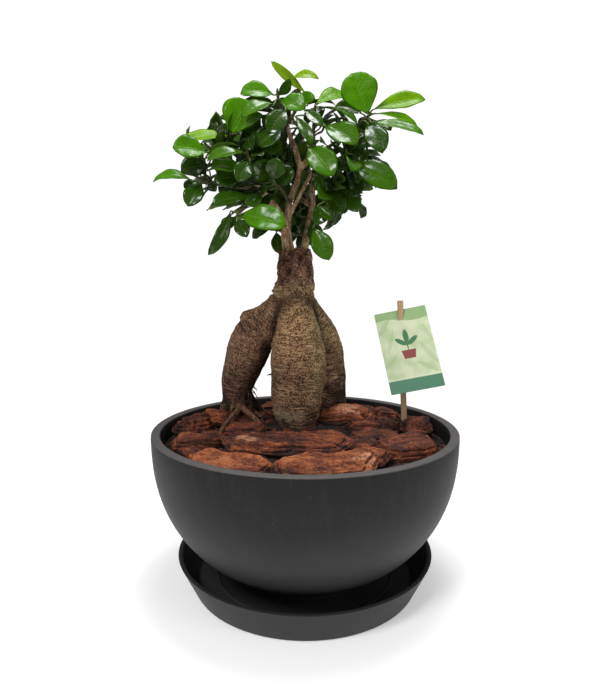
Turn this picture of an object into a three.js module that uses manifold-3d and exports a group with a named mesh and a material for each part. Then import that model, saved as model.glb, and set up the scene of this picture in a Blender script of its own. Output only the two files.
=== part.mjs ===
// Ficus ginseng bonsai in a bowl planter with its saucer, bark mulch and plant label.
// Millimetres, +Z up. The origin is the centre of the saucer's underside and the front is -Y.
import * as THREE from "three";
import { mergeVertices } from "three/addons/utils/BufferGeometryUtils.js";
import Module from "manifold-3d";

const wasm = await Module();
wasm.setup();

// Driving dimensions
const GAP = 0.3;
const ROUND = 48; // facets round the pot and the saucer, twice those of the soil
const RIM_R = 150;
const RIM_Z = 156;
const POT_FOOT_Z = 5.3;
const FOOT_R = 62;
const FOOT_TOP_Z = 12;
const WALL = 9;
const LIP = 2.6;
const POT_FLOOR_Z = 18;
const DRAIN_R = 8;
const SAUCER_RIM_R = 128;
const SAUCER_BASE_R = 112.8;
const SAUCER_H = 32.6;
const SAUCER_WALL = 5;
const SAUCER_FLOOR = 5;
const SAUCER_RIB_R = 88.5;
const SOIL_EDGE_Z = 141;
const SOIL_MOUND = 13;
const LEAF_THICK = 0.8;
const PETIOLE_R = 0.8;
const STICK = { width: 6, thick: 2, length: 176.5, foot: [107.7, 25, 104], lean: -3.2 };
const CARD = { width: 53, height: 87.5, thick: 0.8, corner: 0.6, at: [104.4, 9, 232.2] };
const CARD_TURN = [-26, -9.5, -12.9]; // pitch, yaw and roll in degrees
const DEG = Math.PI / 180;

const group = new THREE.Group();

// Vector helpers
const vec = (p) => new THREE.Vector3(p[0], p[1], p[2]);
const mix = (a, b, t) => a.clone().lerp(b, t);

// A repeatable number from 0 to 1 for each n.
function chance(n) {
  const s = Math.sin(n * 127.1 + 311.7) * 43758.5453;
  return s - Math.floor(s);
}

// Solids
function solid(geometry) {
  const bare = geometry.clone();
  bare.deleteAttribute("normal");
  bare.deleteAttribute("uv");
  const merged = mergeVertices(bare, 1e-4);
  return new wasm.Manifold(
    new wasm.Mesh({
      numProp: 3,
      vertProperties: new Float32Array(merged.attributes.position.array),
      triVerts: new Uint32Array(merged.index.array),
    }),
  );
}

function largest(shape) {
  const bodies = shape.decompose();
  bodies.sort((a, b) => b.volume() - a.volume());
  return bodies[0];
}

function place(name, shape, look) {
  const mesh = shape.getMesh();
  const geometry = new THREE.BufferGeometry();
  const flat = new Float32Array(mesh.numVert * 3);
  for (let i = 0; i < mesh.numVert; i++) {
    flat.set(mesh.vertProperties.subarray(i * mesh.numProp, i * mesh.numProp + 3), i * 3);
  }
  geometry.setAttribute("position", new THREE.BufferAttribute(flat, 3));
  geometry.setIndex(new THREE.BufferAttribute(mesh.triVerts, 1));
  geometry.computeVertexNormals();
  const made = new THREE.Mesh(geometry, look);
  made.name = name;
  group.add(made);
}

function look(color, roughness) {
  return new THREE.MeshStandardMaterial({ color, roughness, metalness: 0 });
}

const POT_LOOK = look(0x3c3a39, 0.62);
const SOIL_LOOK = look(0x33231b, 0.95);
const WOOD_LOOK = look(0x8a6f4d, 0.8);
const LEAF_LOOK = look(0x2f6a1c, 0.3);
const BARK_LOOK = look(0x9c5230, 0.9);
const STICK_LOOK = look(0xcdb48a, 0.7);
const CARD_LOOK = look(0xcfe0b4, 0.5);

// A closed skin over rings of points that all turn the same way round the line through them.
function skin(rings) {
  const count = rings[0].length;
  const points = rings.flat();
  const first = points.length;
  const middle = (ring) =>
    ring.reduce((sum, p) => sum.add(p), new THREE.Vector3()).divideScalar(count);
  points.push(middle(rings[0]), middle(rings[rings.length - 1]));
  const index = [];
  for (let i = 0; i < rings.length - 1; i++) {
    for (let k = 0; k < count; k++) {
      const a = i * count + k;
      const b = i * count + ((k + 1) % count);
      index.push(a, b, b + count, a, b + count, a + count);
    }
  }
  const last = (rings.length - 1) * count;
  for (let k = 0; k < count; k++) {
    index.push(first, (k + 1) % count, k);
    index.push(first + 1, last + k, last + ((k + 1) % count));
  }
  const geometry = new THREE.BufferGeometry().setFromPoints(points);
  geometry.setIndex(index);
  return geometry;
}

// Limbs: a smooth line through points [x, y, z, radius], with the skin round it.
function lineAt(points, t) {
  const span = Math.min(points.length - 2, Math.floor(t * (points.length - 1)));
  const u = t * (points.length - 1) - span;
  const p1 = points[span];
  const p2 = points[span + 1];
  const p0 = points[Math.max(0, span - 1)];
  const p3 = points[Math.min(points.length - 1, span + 2)];
  return p1.map((_, i) => {
    const a = 2 * p1[i];
    const b = p2[i] - p0[i];
    const c = 2 * p0[i] - 5 * p1[i] + 4 * p2[i] - p3[i];
    const d = -p0[i] + 3 * p1[i] - 3 * p2[i] + p3[i];
    return 0.5 * (a + b * u + c * u * u + d * u * u * u);
  });
}

function across(points) {
  const run = vec(points[points.length - 1]).sub(vec(points[0]));
  const size = [Math.abs(run.x), Math.abs(run.y), Math.abs(run.z)];
  const least = size.indexOf(Math.min(...size));
  return new THREE.Vector3(least === 0 ? 1 : 0, least === 1 ? 1 : 0, least === 2 ? 1 : 0);
}

function limb(points, sides, steps, swell = 0, grow = 0) {
  const reference = across(points);
  const rings = [];
  for (let i = 0; i <= steps; i++) {
    const t = i / steps;
    const here = lineAt(points, t);
    const ahead = vec(lineAt(points, Math.min(1, t + 0.01)));
    const behind = vec(lineAt(points, Math.max(0, t - 0.01)));
    const along = ahead.sub(behind).normalize();
    const side = reference.clone().addScaledVector(along, -reference.dot(along)).normalize();
    const out = new THREE.Vector3().crossVectors(along, side);
    const ring = [];
    for (let k = 0; k < sides; k++) {
      const a = (2 * Math.PI * k) / sides;
      const lump = Math.sin(2 * a + here[2] / 31 + 1.3) + 0.7 * Math.sin(3 * a - here[2] / 19);
      const r = here[3] * (1 + swell * lump) + grow;
      ring.push(
        vec(here)
          .addScaledVector(side, r * Math.cos(a))
          .addScaledVector(out, r * Math.sin(a)),
      );
    }
    rings.push(ring);
  }
  return solid(skin(rings));
}

// The saucer
const saucerProfile = [
  [0, 0],
  [SAUCER_BASE_R - 1.5, 0],
  [SAUCER_BASE_R, 1.2],
  [SAUCER_RIM_R - 0.6, SAUCER_H - 1.2],
  [SAUCER_RIM_R - 1.6, SAUCER_H],
  [SAUCER_RIM_R - SAUCER_WALL + 1.2, SAUCER_H],
  [SAUCER_RIM_R - SAUCER_WALL, SAUCER_H - 1.4],
  [SAUCER_BASE_R - SAUCER_WALL + 2, SAUCER_FLOOR + 4],
  [SAUCER_BASE_R - SAUCER_WALL - 2.5, SAUCER_FLOOR],
  [SAUCER_RIB_R + 1.2, SAUCER_FLOOR],
  [SAUCER_RIB_R, SAUCER_FLOOR + 1.6],
  [SAUCER_RIB_R - 1.2, SAUCER_FLOOR],
  [0, SAUCER_FLOOR],
];
const turned = (profile, facets = ROUND) =>
  solid(
    new THREE.LatheGeometry(
      profile.map((p) => new THREE.Vector2(p[0], p[1])),
      facets,
    ).rotateX(Math.PI / 2),
  );
place("saucer", turned(saucerProfile), POT_LOOK);

// The pot: a bowl with a low foot, a soft lip and a drain hole
const bowlR = (z) => RIM_R * (1 - ((RIM_Z - z) / (RIM_Z + 4)) ** 2.5) ** (1 / 1.72);
const cavityR = (z) => bowlR(z) - WALL * (1 + 0.35 * (1 - (z - POT_FLOOR_Z) / RIM_Z));
const outerHeights = [14, 21, 33, 52, 80, 116, RIM_Z - LIP];
const innerHeights = [120, 80, 48, 30, 21.5];
const potProfile = [
  [DRAIN_R, POT_FOOT_Z + 3],
  [FOOT_R - 8, POT_FOOT_Z + 3],
  [FOOT_R - 7.4, POT_FOOT_Z],
  [FOOT_R, POT_FOOT_Z],
  [FOOT_R, FOOT_TOP_Z - 1],
  ...outerHeights.map((z) => [bowlR(z), z]),
  [RIM_R - 0.9, RIM_Z - 0.8],
  [RIM_R - LIP, RIM_Z],
  [RIM_R - WALL + 1.6, RIM_Z],
  [cavityR(RIM_Z - LIP), RIM_Z - LIP + 0.8],
  ...innerHeights.map((z) => [cavityR(z), z]),
  [cavityR(21.5) - 8, POT_FLOOR_Z],
  [DRAIN_R, POT_FLOOR_Z],
  [DRAIN_R, POT_FOOT_Z + 3],
];
place("pot", turned(potProfile), POT_LOOK);

// The bonsai's wood: swollen roots, cut neck and branches, grown as one piece
const ROOTS = [
  { swell: 0.02, path: [[-10, 27, 331, 17], [-10, 27, 313, 18.6], [-9, 27, 299, 18.6],
    [-10, 27, 286, 19.4], [-10, 27, 270, 18]] },
  { swell: 0.025, path: [[-9, 24, 292, 13], [-8, 18, 265, 18.8], [-7, 14, 246, 23.6],
    [-6, 12, 226, 27.3], [-7, 11, 206, 27], [-8, 11, 188, 25.8], [-8, 12, 171, 24],
    [-7, 14, 150, 18]] },
  { swell: 0.03, path: [[-13, 28, 290, 10], [-21, 30, 279, 12], [-36, 33, 264, 16],
    [-50, 37, 248, 20.5], [-58, 42, 231, 23.4], [-67, 46, 208, 21.3], [-73, 48, 189, 17.7],
    [-74, 50, 170, 15.5], [-74, 52, 148, 13]] },
  { swell: 0.03, path: [[-5, 32, 290, 9], [0, 34, 278, 11], [9, 38, 262, 14],
    [17, 44, 246, 17.6], [22, 50, 228, 19.8], [25, 54, 206, 20], [26, 56, 178, 20],
    [28, 57, 150, 18]] },
  { swell: 0.03, path: [[-12, 34, 290, 10], [-13, 44, 270, 15], [-13, 58, 248, 18],
    [-12, 68, 226, 19], [-11, 74, 202, 19], [-11, 77, 178, 17], [-12, 78, 150, 14]] },
  { swell: 0, path: [[-66, 46, 178, 8], [-61, 39, 164, 6], [-56, 33, 150, 4.4]] },
  { swell: 0, path: [[-80, 47, 178, 8], [-86, 41, 164, 6], [-90, 36, 149, 4.4]] },
  { swell: 0, path: [[34, 50, 178, 9], [36, 44, 164, 6.6], [38, 41, 150, 4.6]] },
];
const BRANCHES = {
  stem: [[-14, 27, 319, 7], [-17, 26, 335, 6], [-19, 24, 346, 5.1], [-18, 20, 358, 4.5]],
  left: [[-18, 21, 354, 4], [-26, 12, 368, 3.5], [-36, 5, 379, 3.2], [-42, 2, 387, 3.1],
    [-46, 0, 392, 3]],
  mid: [[-18, 21, 354, 4], [-15, 20, 379, 3.2], [-8, 20, 397, 2.9], [-4, 20, 413, 2.9]],
  top: [[-4, 20, 410, 2.9], [-10, 17, 429, 2.5], [-16, 15, 443, 2.2], [-17, 14, 451, 2]],
  right: [[-5, 20, 409, 3], [3, 18, 418, 2.7], [10, 14, 422, 2.4], [13, 13, 424, 2.2]],
  slender: [[-15, 20, 366, 2.4], [-6, 12, 381, 1.9], [2, 9, 396, 1.7], [7, 10, 403, 1.5]],
  second: [[-2, 34, 322, 5], [1, 38, 342, 3.9], [5, 46, 362, 3.6], [8, 56, 381, 3.4],
    [8, 62, 401, 3]],
  backLeft: [[7, 56, 380, 3.2], [-8, 66, 390, 2.8], [-26, 70, 400, 2.5], [-38, 70, 410, 2.2]],
  backRight: [[8, 62, 398, 3], [16, 66, 408, 2.6], [28, 66, 416, 2.3], [36, 66, 424, 2]],
  backTop: [[8, 61, 398, 2.8], [4, 58, 418, 2.4], [0, 54, 436, 2.1], [-2, 50, 446, 1.9]],
};

let tree = null;
const fuse = (whole, more) => (whole ? whole.add(more) : more);
function rootLimb(root, grow = 0) {
  const thick = root.path[0][3] > 9;
  const steps = Math.round((root.path.length - 1) * (thick ? 1.6 : 1));
  return limb(root.path, thick ? 11 : 6, steps, root.swell, grow);
}
for (const root of ROOTS) {
  tree = fuse(tree, rootLimb(root));
}
for (const path of Object.values(BRANCHES)) {
  tree = tree.add(limb(path, 6, path.length - 1));
}
place("bonsai_wood", tree, WOOD_LOOK);

// Leafy shoots. Each leaf is [base x, y, z, tip x, y, z, width, face, side, arch]: face turns
// its upper side from up (0) to the front (90), side turns it to the right, in degrees, and
// arch is the rise of its middle in hundredths of its length. fill adds leaves by rule.
const SHOOTS = [
  { name: "shoot_left_high", twig: [[-41, 3, 391], [-63, -6, 404], [-77, -14, 413],
    [-85, -20, 419]], fill: 2,
    leaves: [
      [-69, -12, 433, -113, -30, 423, 19, 46, 0, 5],
      [-89, -22, 416, -118, -34, 418, 25, 65, 0, 5],
      [-91, -24, 410, -59, -30, 420, 15, 5, 0, 16],
      [-89, -20, 406, -112, -30, 398, 22, 75, 0, 6],
    ] },
  { name: "shoot_left_tip", twig: [[-45, 0, 388], [-67, -4, 389], [-88, -8, 392],
    [-100, -10, 396]], fill: 2,
    leaves: [
      [-105, -10, 393, -142, -14, 392, 19, 38, 0, 14],
      [-96, -14, 390, -108, -24, 368, 19, 75, 0, 5],
      [-100, -6, 393, -113, -14, 386, 12, 60, 0, 5],
      [-92, -6, 391, -83, -14, 383, 10, 70, 0, 5],
    ] },
  { name: "shoot_left_mid", twig: [[-40, -2, 391], [-47, -18, 401], [-51, -30, 409],
    [-52, -36, 415]], fill: 2,
    leaves: [
      [-52, -38, 412, -86, -46, 404, 20, 40, 0, 8],
      [-54, -36, 397, -83, -42, 400, 20, 50, 0, 6],
      [-55, -30, 394, -81, -40, 388, 18, 80, 0, 4],
      [-49, -40, 405, -58, -56, 384, 18, 75, 10, 6],
    ] },
  { name: "shoot_top_left", twig: [[-17, 13, 450], [-33, 4, 444], [-51, -10, 438],
    [-63, -18, 433]], fill: 2,
    leaves: [
      [-69, -18, 433, -52, -18, 463, 33, 88, 0, 3],
      [-63, -22, 432, -38, -30, 447, 18, 50, 0, 8],
      [-26, -14, 450, -37, -22, 437, 16, 70, 0, 4],
      [-22, -20, 437, -43, -34, 418, 24, 60, 0, 5],
      [-39, -24, 433, -27, -40, 410, 20, 75, 0, 6],
    ] },
  { name: "shoot_top", twig: [[-18, 12, 452], [-21, 8, 460], [-25, 2, 469], [-26, 0, 476]],
    fill: 1,
    leaves: [
      [-28, -20, 459, -56, -37, 442, 20, 42, 0, 10],
      [-29, 0, 473, -60, -8, 472, 22, 60, 0, 10],
      [-26, -6, 470, -14, -10, 484, 14, 75, 60, 5],
      [-23, -8, 466, 0, -20, 455, 20, 75, 0, 6],
      [-18, -10, 457, -33, -24, 432, 20, 80, 0, 6],
    ] },
  { name: "shoot_top_tip", twig: [[-16, 16, 452], [-8, 14, 466], [-5, 10, 474], [-6, 8, 482]],
    fill: 1,
    leaves: [
      [1, 8, 477, -32, 0, 503, 9, 105, 0, 4],
      [-14, 10, 490, 13, 4, 489, 12, 55, 0, 16],
      [-15, 0, 473, -2, -2, 478, 12, 20, 0, 6],
      [0, 2, 465, 5, 0, 476, 14, 90, 0, 4],
    ] },
  { name: "shoot_right_hub", twig: [[11, 12, 423], [8, 4, 435], [8, -4, 448], [9, -8, 459]],
    fill: 1,
    leaves: [
      [9, -8, 461, 42, 16, 478, 20, 52, 0, 10],
      [11, -12, 458, 47, -24, 440, 20, 20, 0, 10],
      [-1, -18, 454, 15, -32, 436, 13, 60, 0, 4],
      [-9, -20, 448, 7, -36, 420, 11, 80, 0, 5],
      [17, -24, 439, 45, -44, 418, 26, 62, 0, 6],
    ] },
  { name: "shoot_right_top", twig: [[14, 14, 424], [32, 12, 435], [47, 8, 446], [59, 6, 455]],
    fill: 2,
    leaves: [
      [60, 4, 456, 43, 4, 494, 35, 88, 0, 3],
      [64, 4, 461, 113, 0, 470, 20, 62, 0, 5],
      [66, 2, 457, 105, -6, 444, 12, 45, 0, 7],
      [62, -2, 448, 109, -16, 434, 17, 42, 0, 4],
      [58, -8, 445, 69, -30, 414, 22, 80, 0, 5],
      [63, -6, 448, 78, -20, 436, 14, 60, 0, 4],
      [55, 10, 459, 28, 14, 467, 18, 60, 0, 8],
    ] },
  { name: "shoot_right_low", twig: [[12, 14, 421], [24, 4, 415], [35, -6, 413],
    [42, -12, 412]], fill: 2,
    leaves: [
      [38, -20, 408, 82, -36, 382, 26, 68, 0, 5],
      [39, -6, 408, 48, -18, 377, 22, 80, 0, 6],
      [37, -14, 423, 56, -26, 409, 20, 70, 0, 5],
      [2, -30, 420, 24, -52, 390, 26, 75, 0, 4],
    ] },
  { name: "shoot_right_under", twig: [[7, 10, 402], [15, 6, 396], [22, 0, 386],
    [24, -4, 378]], fill: 1,
    leaves: [
      [33, -6, 391, 49, -16, 364, 20, 80, 0, 5],
      [21, -10, 386, 34, -22, 361, 20, 80, 0, 5],
      [12, -6, 371, 26, -14, 357, 12, 80, 0, 4],
      [8, 2, 352, 23, -8, 320, 21, 88, 0, 4],
      [14, 0, 404, 18, -12, 380, 19, 80, 0, 5],
      [24, -4, 376, 10, -10, 353, 17, 80, 0, 5],
    ] },
  { name: "shoot_low_left", twig: [[-41, 1, 384], [-47, -22, 373], [-55, -38, 364],
    [-59, -46, 359]], fill: 1,
    leaves: [
      [-58, -48, 358, -17, -66, 346, 27, 62, 0, 4],
      [-66, -44, 361, -84, -58, 322, 13, 62, 45, 10],
      [-61, -44, 356, -73, -54, 344, 12, 75, 0, 6],
      [-50, -30, 376, -82, -46, 367, 19, 55, 0, 5],
      [-39, -30, 378, -52, -44, 365, 14, 70, 0, 4],
      [-61, -40, 355, -51, -52, 338, 14, 80, 0, 4],
    ] },
  { name: "shoot_heart", twig: [[-16, 18, 378], [-22, -2, 386], [-28, -14, 391],
    [-32, -22, 395]], fill: 2,
    leaves: [
      [-32, -26, 391, -47, -38, 403, 22, 80, 0, 5],
      [-29, -28, 390, -25, -36, 408, 20, 85, 0, 4],
      [-27, -28, 387, -10, -36, 398, 20, 75, 0, 6],
    ] },
  { name: "shoot_low_back", twig: [[2, 42, 350], [-12, 48, 349], [-24, 54, 352],
    [-33, 58, 359]], fill: 3,
    leaves: [
      [-30, 50, 352, -27, 44, 329, 14, 85, 0, 4],
      [-35, 60, 357, -58, 72, 349, 18, 60, 0, 6],
      [0, 42, 362, 10, 32, 336, 20, 85, 0, 5],
      [-10, 46, 362, -20, 40, 338, 18, 80, 0, 5],
    ] },
  { name: "shoot_inner", twig: [[7, 56, 383], [-4, 50, 396], [-14, 46, 409], [-24, 42, 422]],
    fill: 10, leaves: [] },
  { name: "shoot_inner_low", twig: [[4, 46, 364], [-10, 50, 370], [-24, 52, 374],
    [-38, 50, 382]], fill: 8, leaves: [] },
  { name: "shoot_back_left", twig: [[-38, 70, 410], [-52, 66, 416], [-66, 60, 420],
    [-80, 54, 424]], fill: 10, leaves: [] },
  { name: "shoot_back_left_low", twig: [[-26, 70, 400], [-40, 74, 392], [-52, 76, 386],
    [-66, 76, 384]], fill: 9, leaves: [] },
  { name: "shoot_back_mid", twig: [[-10, 66, 391], [-16, 80, 402], [-20, 90, 414],
    [-22, 98, 426]], fill: 10, leaves: [] },
  { name: "shoot_back_top", twig: [[-2, 50, 446], [-6, 48, 456], [-12, 46, 464],
    [-18, 44, 472]], fill: 9, leaves: [] },
  { name: "shoot_back_right", twig: [[36, 66, 424], [46, 64, 432], [54, 60, 440],
    [62, 56, 448]], fill: 10, leaves: [] },
  { name: "shoot_back_right_low", twig: [[18, 66, 409], [32, 70, 402], [44, 68, 396],
    [56, 62, 392]], fill: 9, leaves: [] },
];

// A leaf's frame: along runs to the tip, up is its upper side and wide its breadth.
function leafFrame(leaf) {
  const along = leaf.tip.clone().sub(leaf.base);
  const long = along.length();
  along.divideScalar(long);
  const up = leaf.facing.clone().addScaledVector(along, -leaf.facing.dot(along)).normalize();
  const wide = new THREE.Vector3().crossVectors(along, up);
  return { along, up, wide, long };
}

// Half the breadth of a leaf, 1 at its widest, at the share s of its length.
const leafHalf = (s) => Math.abs(Math.sin(Math.PI * s ** 1.22)) ** (0.95 - 0.4 * s);
const LEAF_STEPS = [0, 0.2, 0.5, 0.82, 1];
const SMALL_STEPS = [0, 0.3, 0.76, 1];
const FOLD = 0.24;

function bladePoint(leaf, frame, s, v, lift) {
  const half = (leaf.width / 2) * leafHalf(s);
  const wave = 0.05 * Math.sin(9 * s + leaf.phase) * v;
  const rise = leaf.arch * frame.long * 4 * s * (1 - s) + FOLD * half * Math.abs(v);
  return leaf.base
    .clone()
    .addScaledVector(frame.along, frame.long * s)
    .addScaledVector(frame.wide, half * v)
    .addScaledVector(frame.up, rise + wave * half + lift);
}

// Six points round the petiole, square to the line that it takes there.
function petioleRing(centre, line, up) {
  const rise = up.clone().addScaledVector(line, -up.dot(line)).normalize();
  const wide = new THREE.Vector3().crossVectors(line, rise);
  const ring = [];
  for (const lift of [1, -1]) {
    for (const v of [-1, 0, 1]) {
      ring.push(
        centre
          .clone()
          .addScaledVector(wide, PETIOLE_R * v)
          .addScaledVector(rise, PETIOLE_R * lift * (v === 0 ? 0.9 : 0.5)),
      );
    }
  }
  return ring;
}

// A leaf is one closed skin: its petiole from the twig, then the blade to its tip. Both faces
// are split into triangles alike.
function leafSolid(leaf, foot) {
  const frame = leafFrame(leaf);
  const stalk = leaf.base.clone().sub(foot).normalize();
  const bend = stalk.clone().add(frame.along).normalize();
  const points = [
    ...petioleRing(foot, stalk, frame.up),
    ...petioleRing(leaf.base, bend, frame.up),
  ];
  for (const s of leaf.steps.slice(1)) {
    for (const lift of [LEAF_THICK / 2, -LEAF_THICK / 2]) {
      for (const v of s >= 1 ? [0] : [-1, 0, 1]) {
        points.push(bladePoint(leaf, frame, s, v, lift));
      }
    }
  }
  const index = [];
  const quad = (a, b, c, d) => index.push(a, c, b, a, d, c);
  quad(0, 1, 4, 3);
  quad(1, 2, 5, 4);
  const full = leaf.steps.length;
  for (let i = 0; i < full - 1; i++) {
    const [l, m, r, lb, mb, rb] = [0, 1, 2, 3, 4, 5].map((k) => i * 6 + k);
    const [L, M, R, LB, MB, RB] = [6, 7, 8, 9, 10, 11].map((k) => i * 6 + k);
    index.push(m, L, l, m, M, L, m, r, R, m, R, M);
    index.push(mb, lb, LB, mb, LB, MB, mb, RB, rb, mb, MB, RB);
    quad(l, lb, LB, L);
    quad(rb, r, R, RB);
  }
  const e = (full - 1) * 6;
  const top = full * 6;
  index.push(e + 1, top, e, e + 1, e + 2, top);
  index.push(e + 4, e + 3, top + 1, e + 4, top + 1, e + 5);
  quad(e, e + 3, top + 1, top);
  quad(e + 5, e + 2, top, top + 1);
  const geometry = new THREE.BufferGeometry().setFromPoints(points);
  geometry.setIndex(index);
  return solid(geometry);
}

// Points spread over a leaf, which stay clear of other leaves and of the wood.
function leafPoints(leaf) {
  const frame = leafFrame(leaf);
  const points = [0.25, 0.6, 0.95].map((t) => mix(leaf.foot, leaf.base, t));
  for (const s of [0.06, 0.2, 0.35, 0.5, 0.65, 0.8, 0.97]) {
    for (const v of [-1, -0.5, 0, 0.5, 1]) {
      points.push(bladePoint(leaf, frame, s, v, 0));
    }
  }
  return points;
}

const twigAt = (twig, t) => vec(lineAt(twig, t));

function nearestOnTwig(twig, point) {
  let best = twigAt(twig, 0.3);
  for (let i = 0; i <= 28; i++) {
    const here = twigAt(twig, 0.3 + 0.7 * (i / 28));
    if (here.distanceTo(point) < best.distanceTo(point)) best = here;
  }
  return best;
}

function facingOf(face, side) {
  const f = face * DEG;
  const s = side * DEG;
  return new THREE.Vector3(Math.sin(s), -Math.sin(f) * Math.cos(s), Math.cos(f) * Math.cos(s));
}

function drawnLeaf(row, seed, twig) {
  return {
    foot: nearestOnTwig(twig, vec(row.slice(0, 3))),
    base: vec(row.slice(0, 3)),
    tip: vec(row.slice(3, 6)),
    width: row[6],
    facing: facingOf(row[7], row[8]),
    arch: row[9] / 100,
    phase: 6.28 * chance(seed),
    steps: row[6] > 17 ? LEAF_STEPS : SMALL_STEPS,
  };
}

// A leaf by rule: number k of n round the twig, turned by the golden angle.
function ruledLeaf(twig, k, n, seed, turn) {
  const t = 0.34 + 0.66 * ((k + 0.6) / n);
  const root = twigAt(twig, t);
  const along = twigAt(twig, Math.min(1, t + 0.05)).sub(twigAt(twig, t - 0.05)).normalize();
  const flat = new THREE.Vector3(0, 0, 1).addScaledVector(along, -along.z).normalize();
  const cross = new THREE.Vector3().crossVectors(along, flat);
  const a = (137.5 * k + 77 * seed + turn) * DEG;
  const lean = (80 - 42 * t + 14 * chance(seed * 31 + k)) * DEG;
  const heading = along
    .clone()
    .multiplyScalar(Math.cos(lean))
    .addScaledVector(flat, Math.sin(lean) * Math.cos(a))
    .addScaledVector(cross, Math.sin(lean) * Math.sin(a));
  heading.z += 0.12;
  heading.normalize();
  const long = 36 + 11 * chance(seed * 17 + k * 3 + 5);
  const base = root.clone().addScaledVector(heading, 7 + 3 * chance(seed + k * 7));
  const facing = along.clone().multiplyScalar(0.7);
  facing.z += 0.8;
  return {
    foot: root,
    base,
    tip: base.clone().addScaledVector(heading, long),
    width: long * (0.46 + 0.06 * chance(seed * 13 + k)),
    facing,
    arch: 0.06 + 0.06 * chance(seed * 5 + k),
    phase: 6.28 * chance(seed * 3 + k),
    steps: SMALL_STEPS,
  };
}

// The distance that a drawn leaf may slide nearer to or further from the front eye point.
const EYE = new THREE.Vector3(-5, -535, 298);
const SLIDES = [0, -4, 4, -8, 8, -12, 12, -16, 16, -20, 20, -24, 24, -30, 30];
const TURNS = [0, 11, -11, 22, -22, 33, -33, 44, -44, 55, -55, 66, -66];
const CLEAR_OTHER = 4.6;
const CLEAR_OWN = 4;
const CLEAR_WOOD = 2.4;
const SKIP = 13; // points of the petiole and the blade's foot, which near their own twig touch
const CROWN = { at: [-16, 22, 413], size: [112, 98, 72] };

const woodPoints = [];
const addWood = (path, owner, from) => {
  for (let i = from; i <= 24; i++) {
    const p = lineAt(path, i / 24);
    woodPoints.push({ at: vec(p), r: p.length > 3 ? p[3] : 1.5, owner });
  }
};
Object.values(BRANCHES).forEach((path) => addWood(path, -1, 0));
ROOTS.slice(0, 5).forEach((root) => addWood(root.path, -1, 0));
SHOOTS.forEach((shoot, i) => addWood(shoot.twig, i, 0));

const taken = [];

function inCrown(point) {
  const [x, y, z] = point.toArray().map((c, i) => (c - CROWN.at[i]) / CROWN.size[i]);
  return x * x + y * y + z * z < 1;
}

function isClear(leaf, owner) {
  const points = leafPoints(leaf);
  const centre = mix(leaf.base, leaf.tip, 0.5);
  for (const wood of woodPoints) {
    if (centre.distanceTo(wood.at) > 40) continue;
    const own = wood.owner === owner;
    const limit = wood.r + (own ? 0.8 : CLEAR_WOOD);
    for (let i = own ? SKIP : 0; i < points.length; i++) {
      if (points[i].distanceTo(wood.at) < limit) return false;
    }
  }
  for (const other of taken) {
    if (centre.distanceTo(other.centre) > 62) continue;
    const own = other.owner === owner;
    const limit = own ? CLEAR_OWN : CLEAR_OTHER;
    for (let i = own ? SKIP : 0; i < points.length; i++) {
      for (let j = own ? SKIP : 0; j < points.length; j++) {
        if (points[i].distanceTo(other.points[j]) < limit) return false;
      }
    }
  }
  return true;
}

function keep(leaf, owner) {
  taken.push({
    leaf,
    owner,
    points: leafPoints(leaf),
    centre: mix(leaf.base, leaf.tip, 0.5),
  });
}

function settleLeaves() {
  SHOOTS.forEach((shoot, owner) => {
    shoot.leaves.forEach((row, k) => {
      const leaf = drawnLeaf(row, owner * 11 + k, shoot.twig);
      const base = leaf.base.clone();
      const tip = leaf.tip.clone();
      for (const slide of SLIDES) {
        const reach = 1 + slide / 535;
        leaf.base = EYE.clone().addScaledVector(base.clone().sub(EYE), reach);
        leaf.tip = EYE.clone().addScaledVector(tip.clone().sub(EYE), reach);
        leaf.foot = nearestOnTwig(shoot.twig, leaf.base);
        if (isClear(leaf, owner)) break;
      }
      if (!isClear(leaf, owner)) {
        leaf.base = base;
        leaf.tip = tip;
        leaf.foot = nearestOnTwig(shoot.twig, base);
      }
      keep(leaf, owner);
    });
  });
  SHOOTS.forEach((shoot, owner) => {
    for (let k = 0; k < shoot.fill; k++) {
      for (const turn of TURNS) {
        const leaf = ruledLeaf(shoot.twig, k, shoot.fill, owner + 1, turn);
        if (!inCrown(leaf.tip) || !isClear(leaf, owner)) continue;
        keep(leaf, owner);
        break;
      }
    }
  });
}
settleLeaves();

let branchSleeve = null;
for (const path of Object.values(BRANCHES)) {
  branchSleeve = fuse(branchSleeve, limb(path, 6, path.length - 1, 0, GAP + 0.15));
}
SHOOTS.forEach((shoot, owner) => {
  const end = twigAt(shoot.twig, 1);
  const bud = mix(twigAt(shoot.twig, 0.92), end, 3.4).toArray();
  const twig = [...shoot.twig, bud].map((p, i) => [...p, [1.9, 1.6, 1.4, 1.3, 0.4][i]]);
  let made = limb(twig, 4, 4);
  for (const item of taken.filter((t) => t.owner === owner)) {
    made = made.add(leafSolid(item.leaf, item.leaf.foot));
  }
  place(shoot.name, largest(made.subtract(branchSleeve)), LEAF_LOOK);
});

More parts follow.
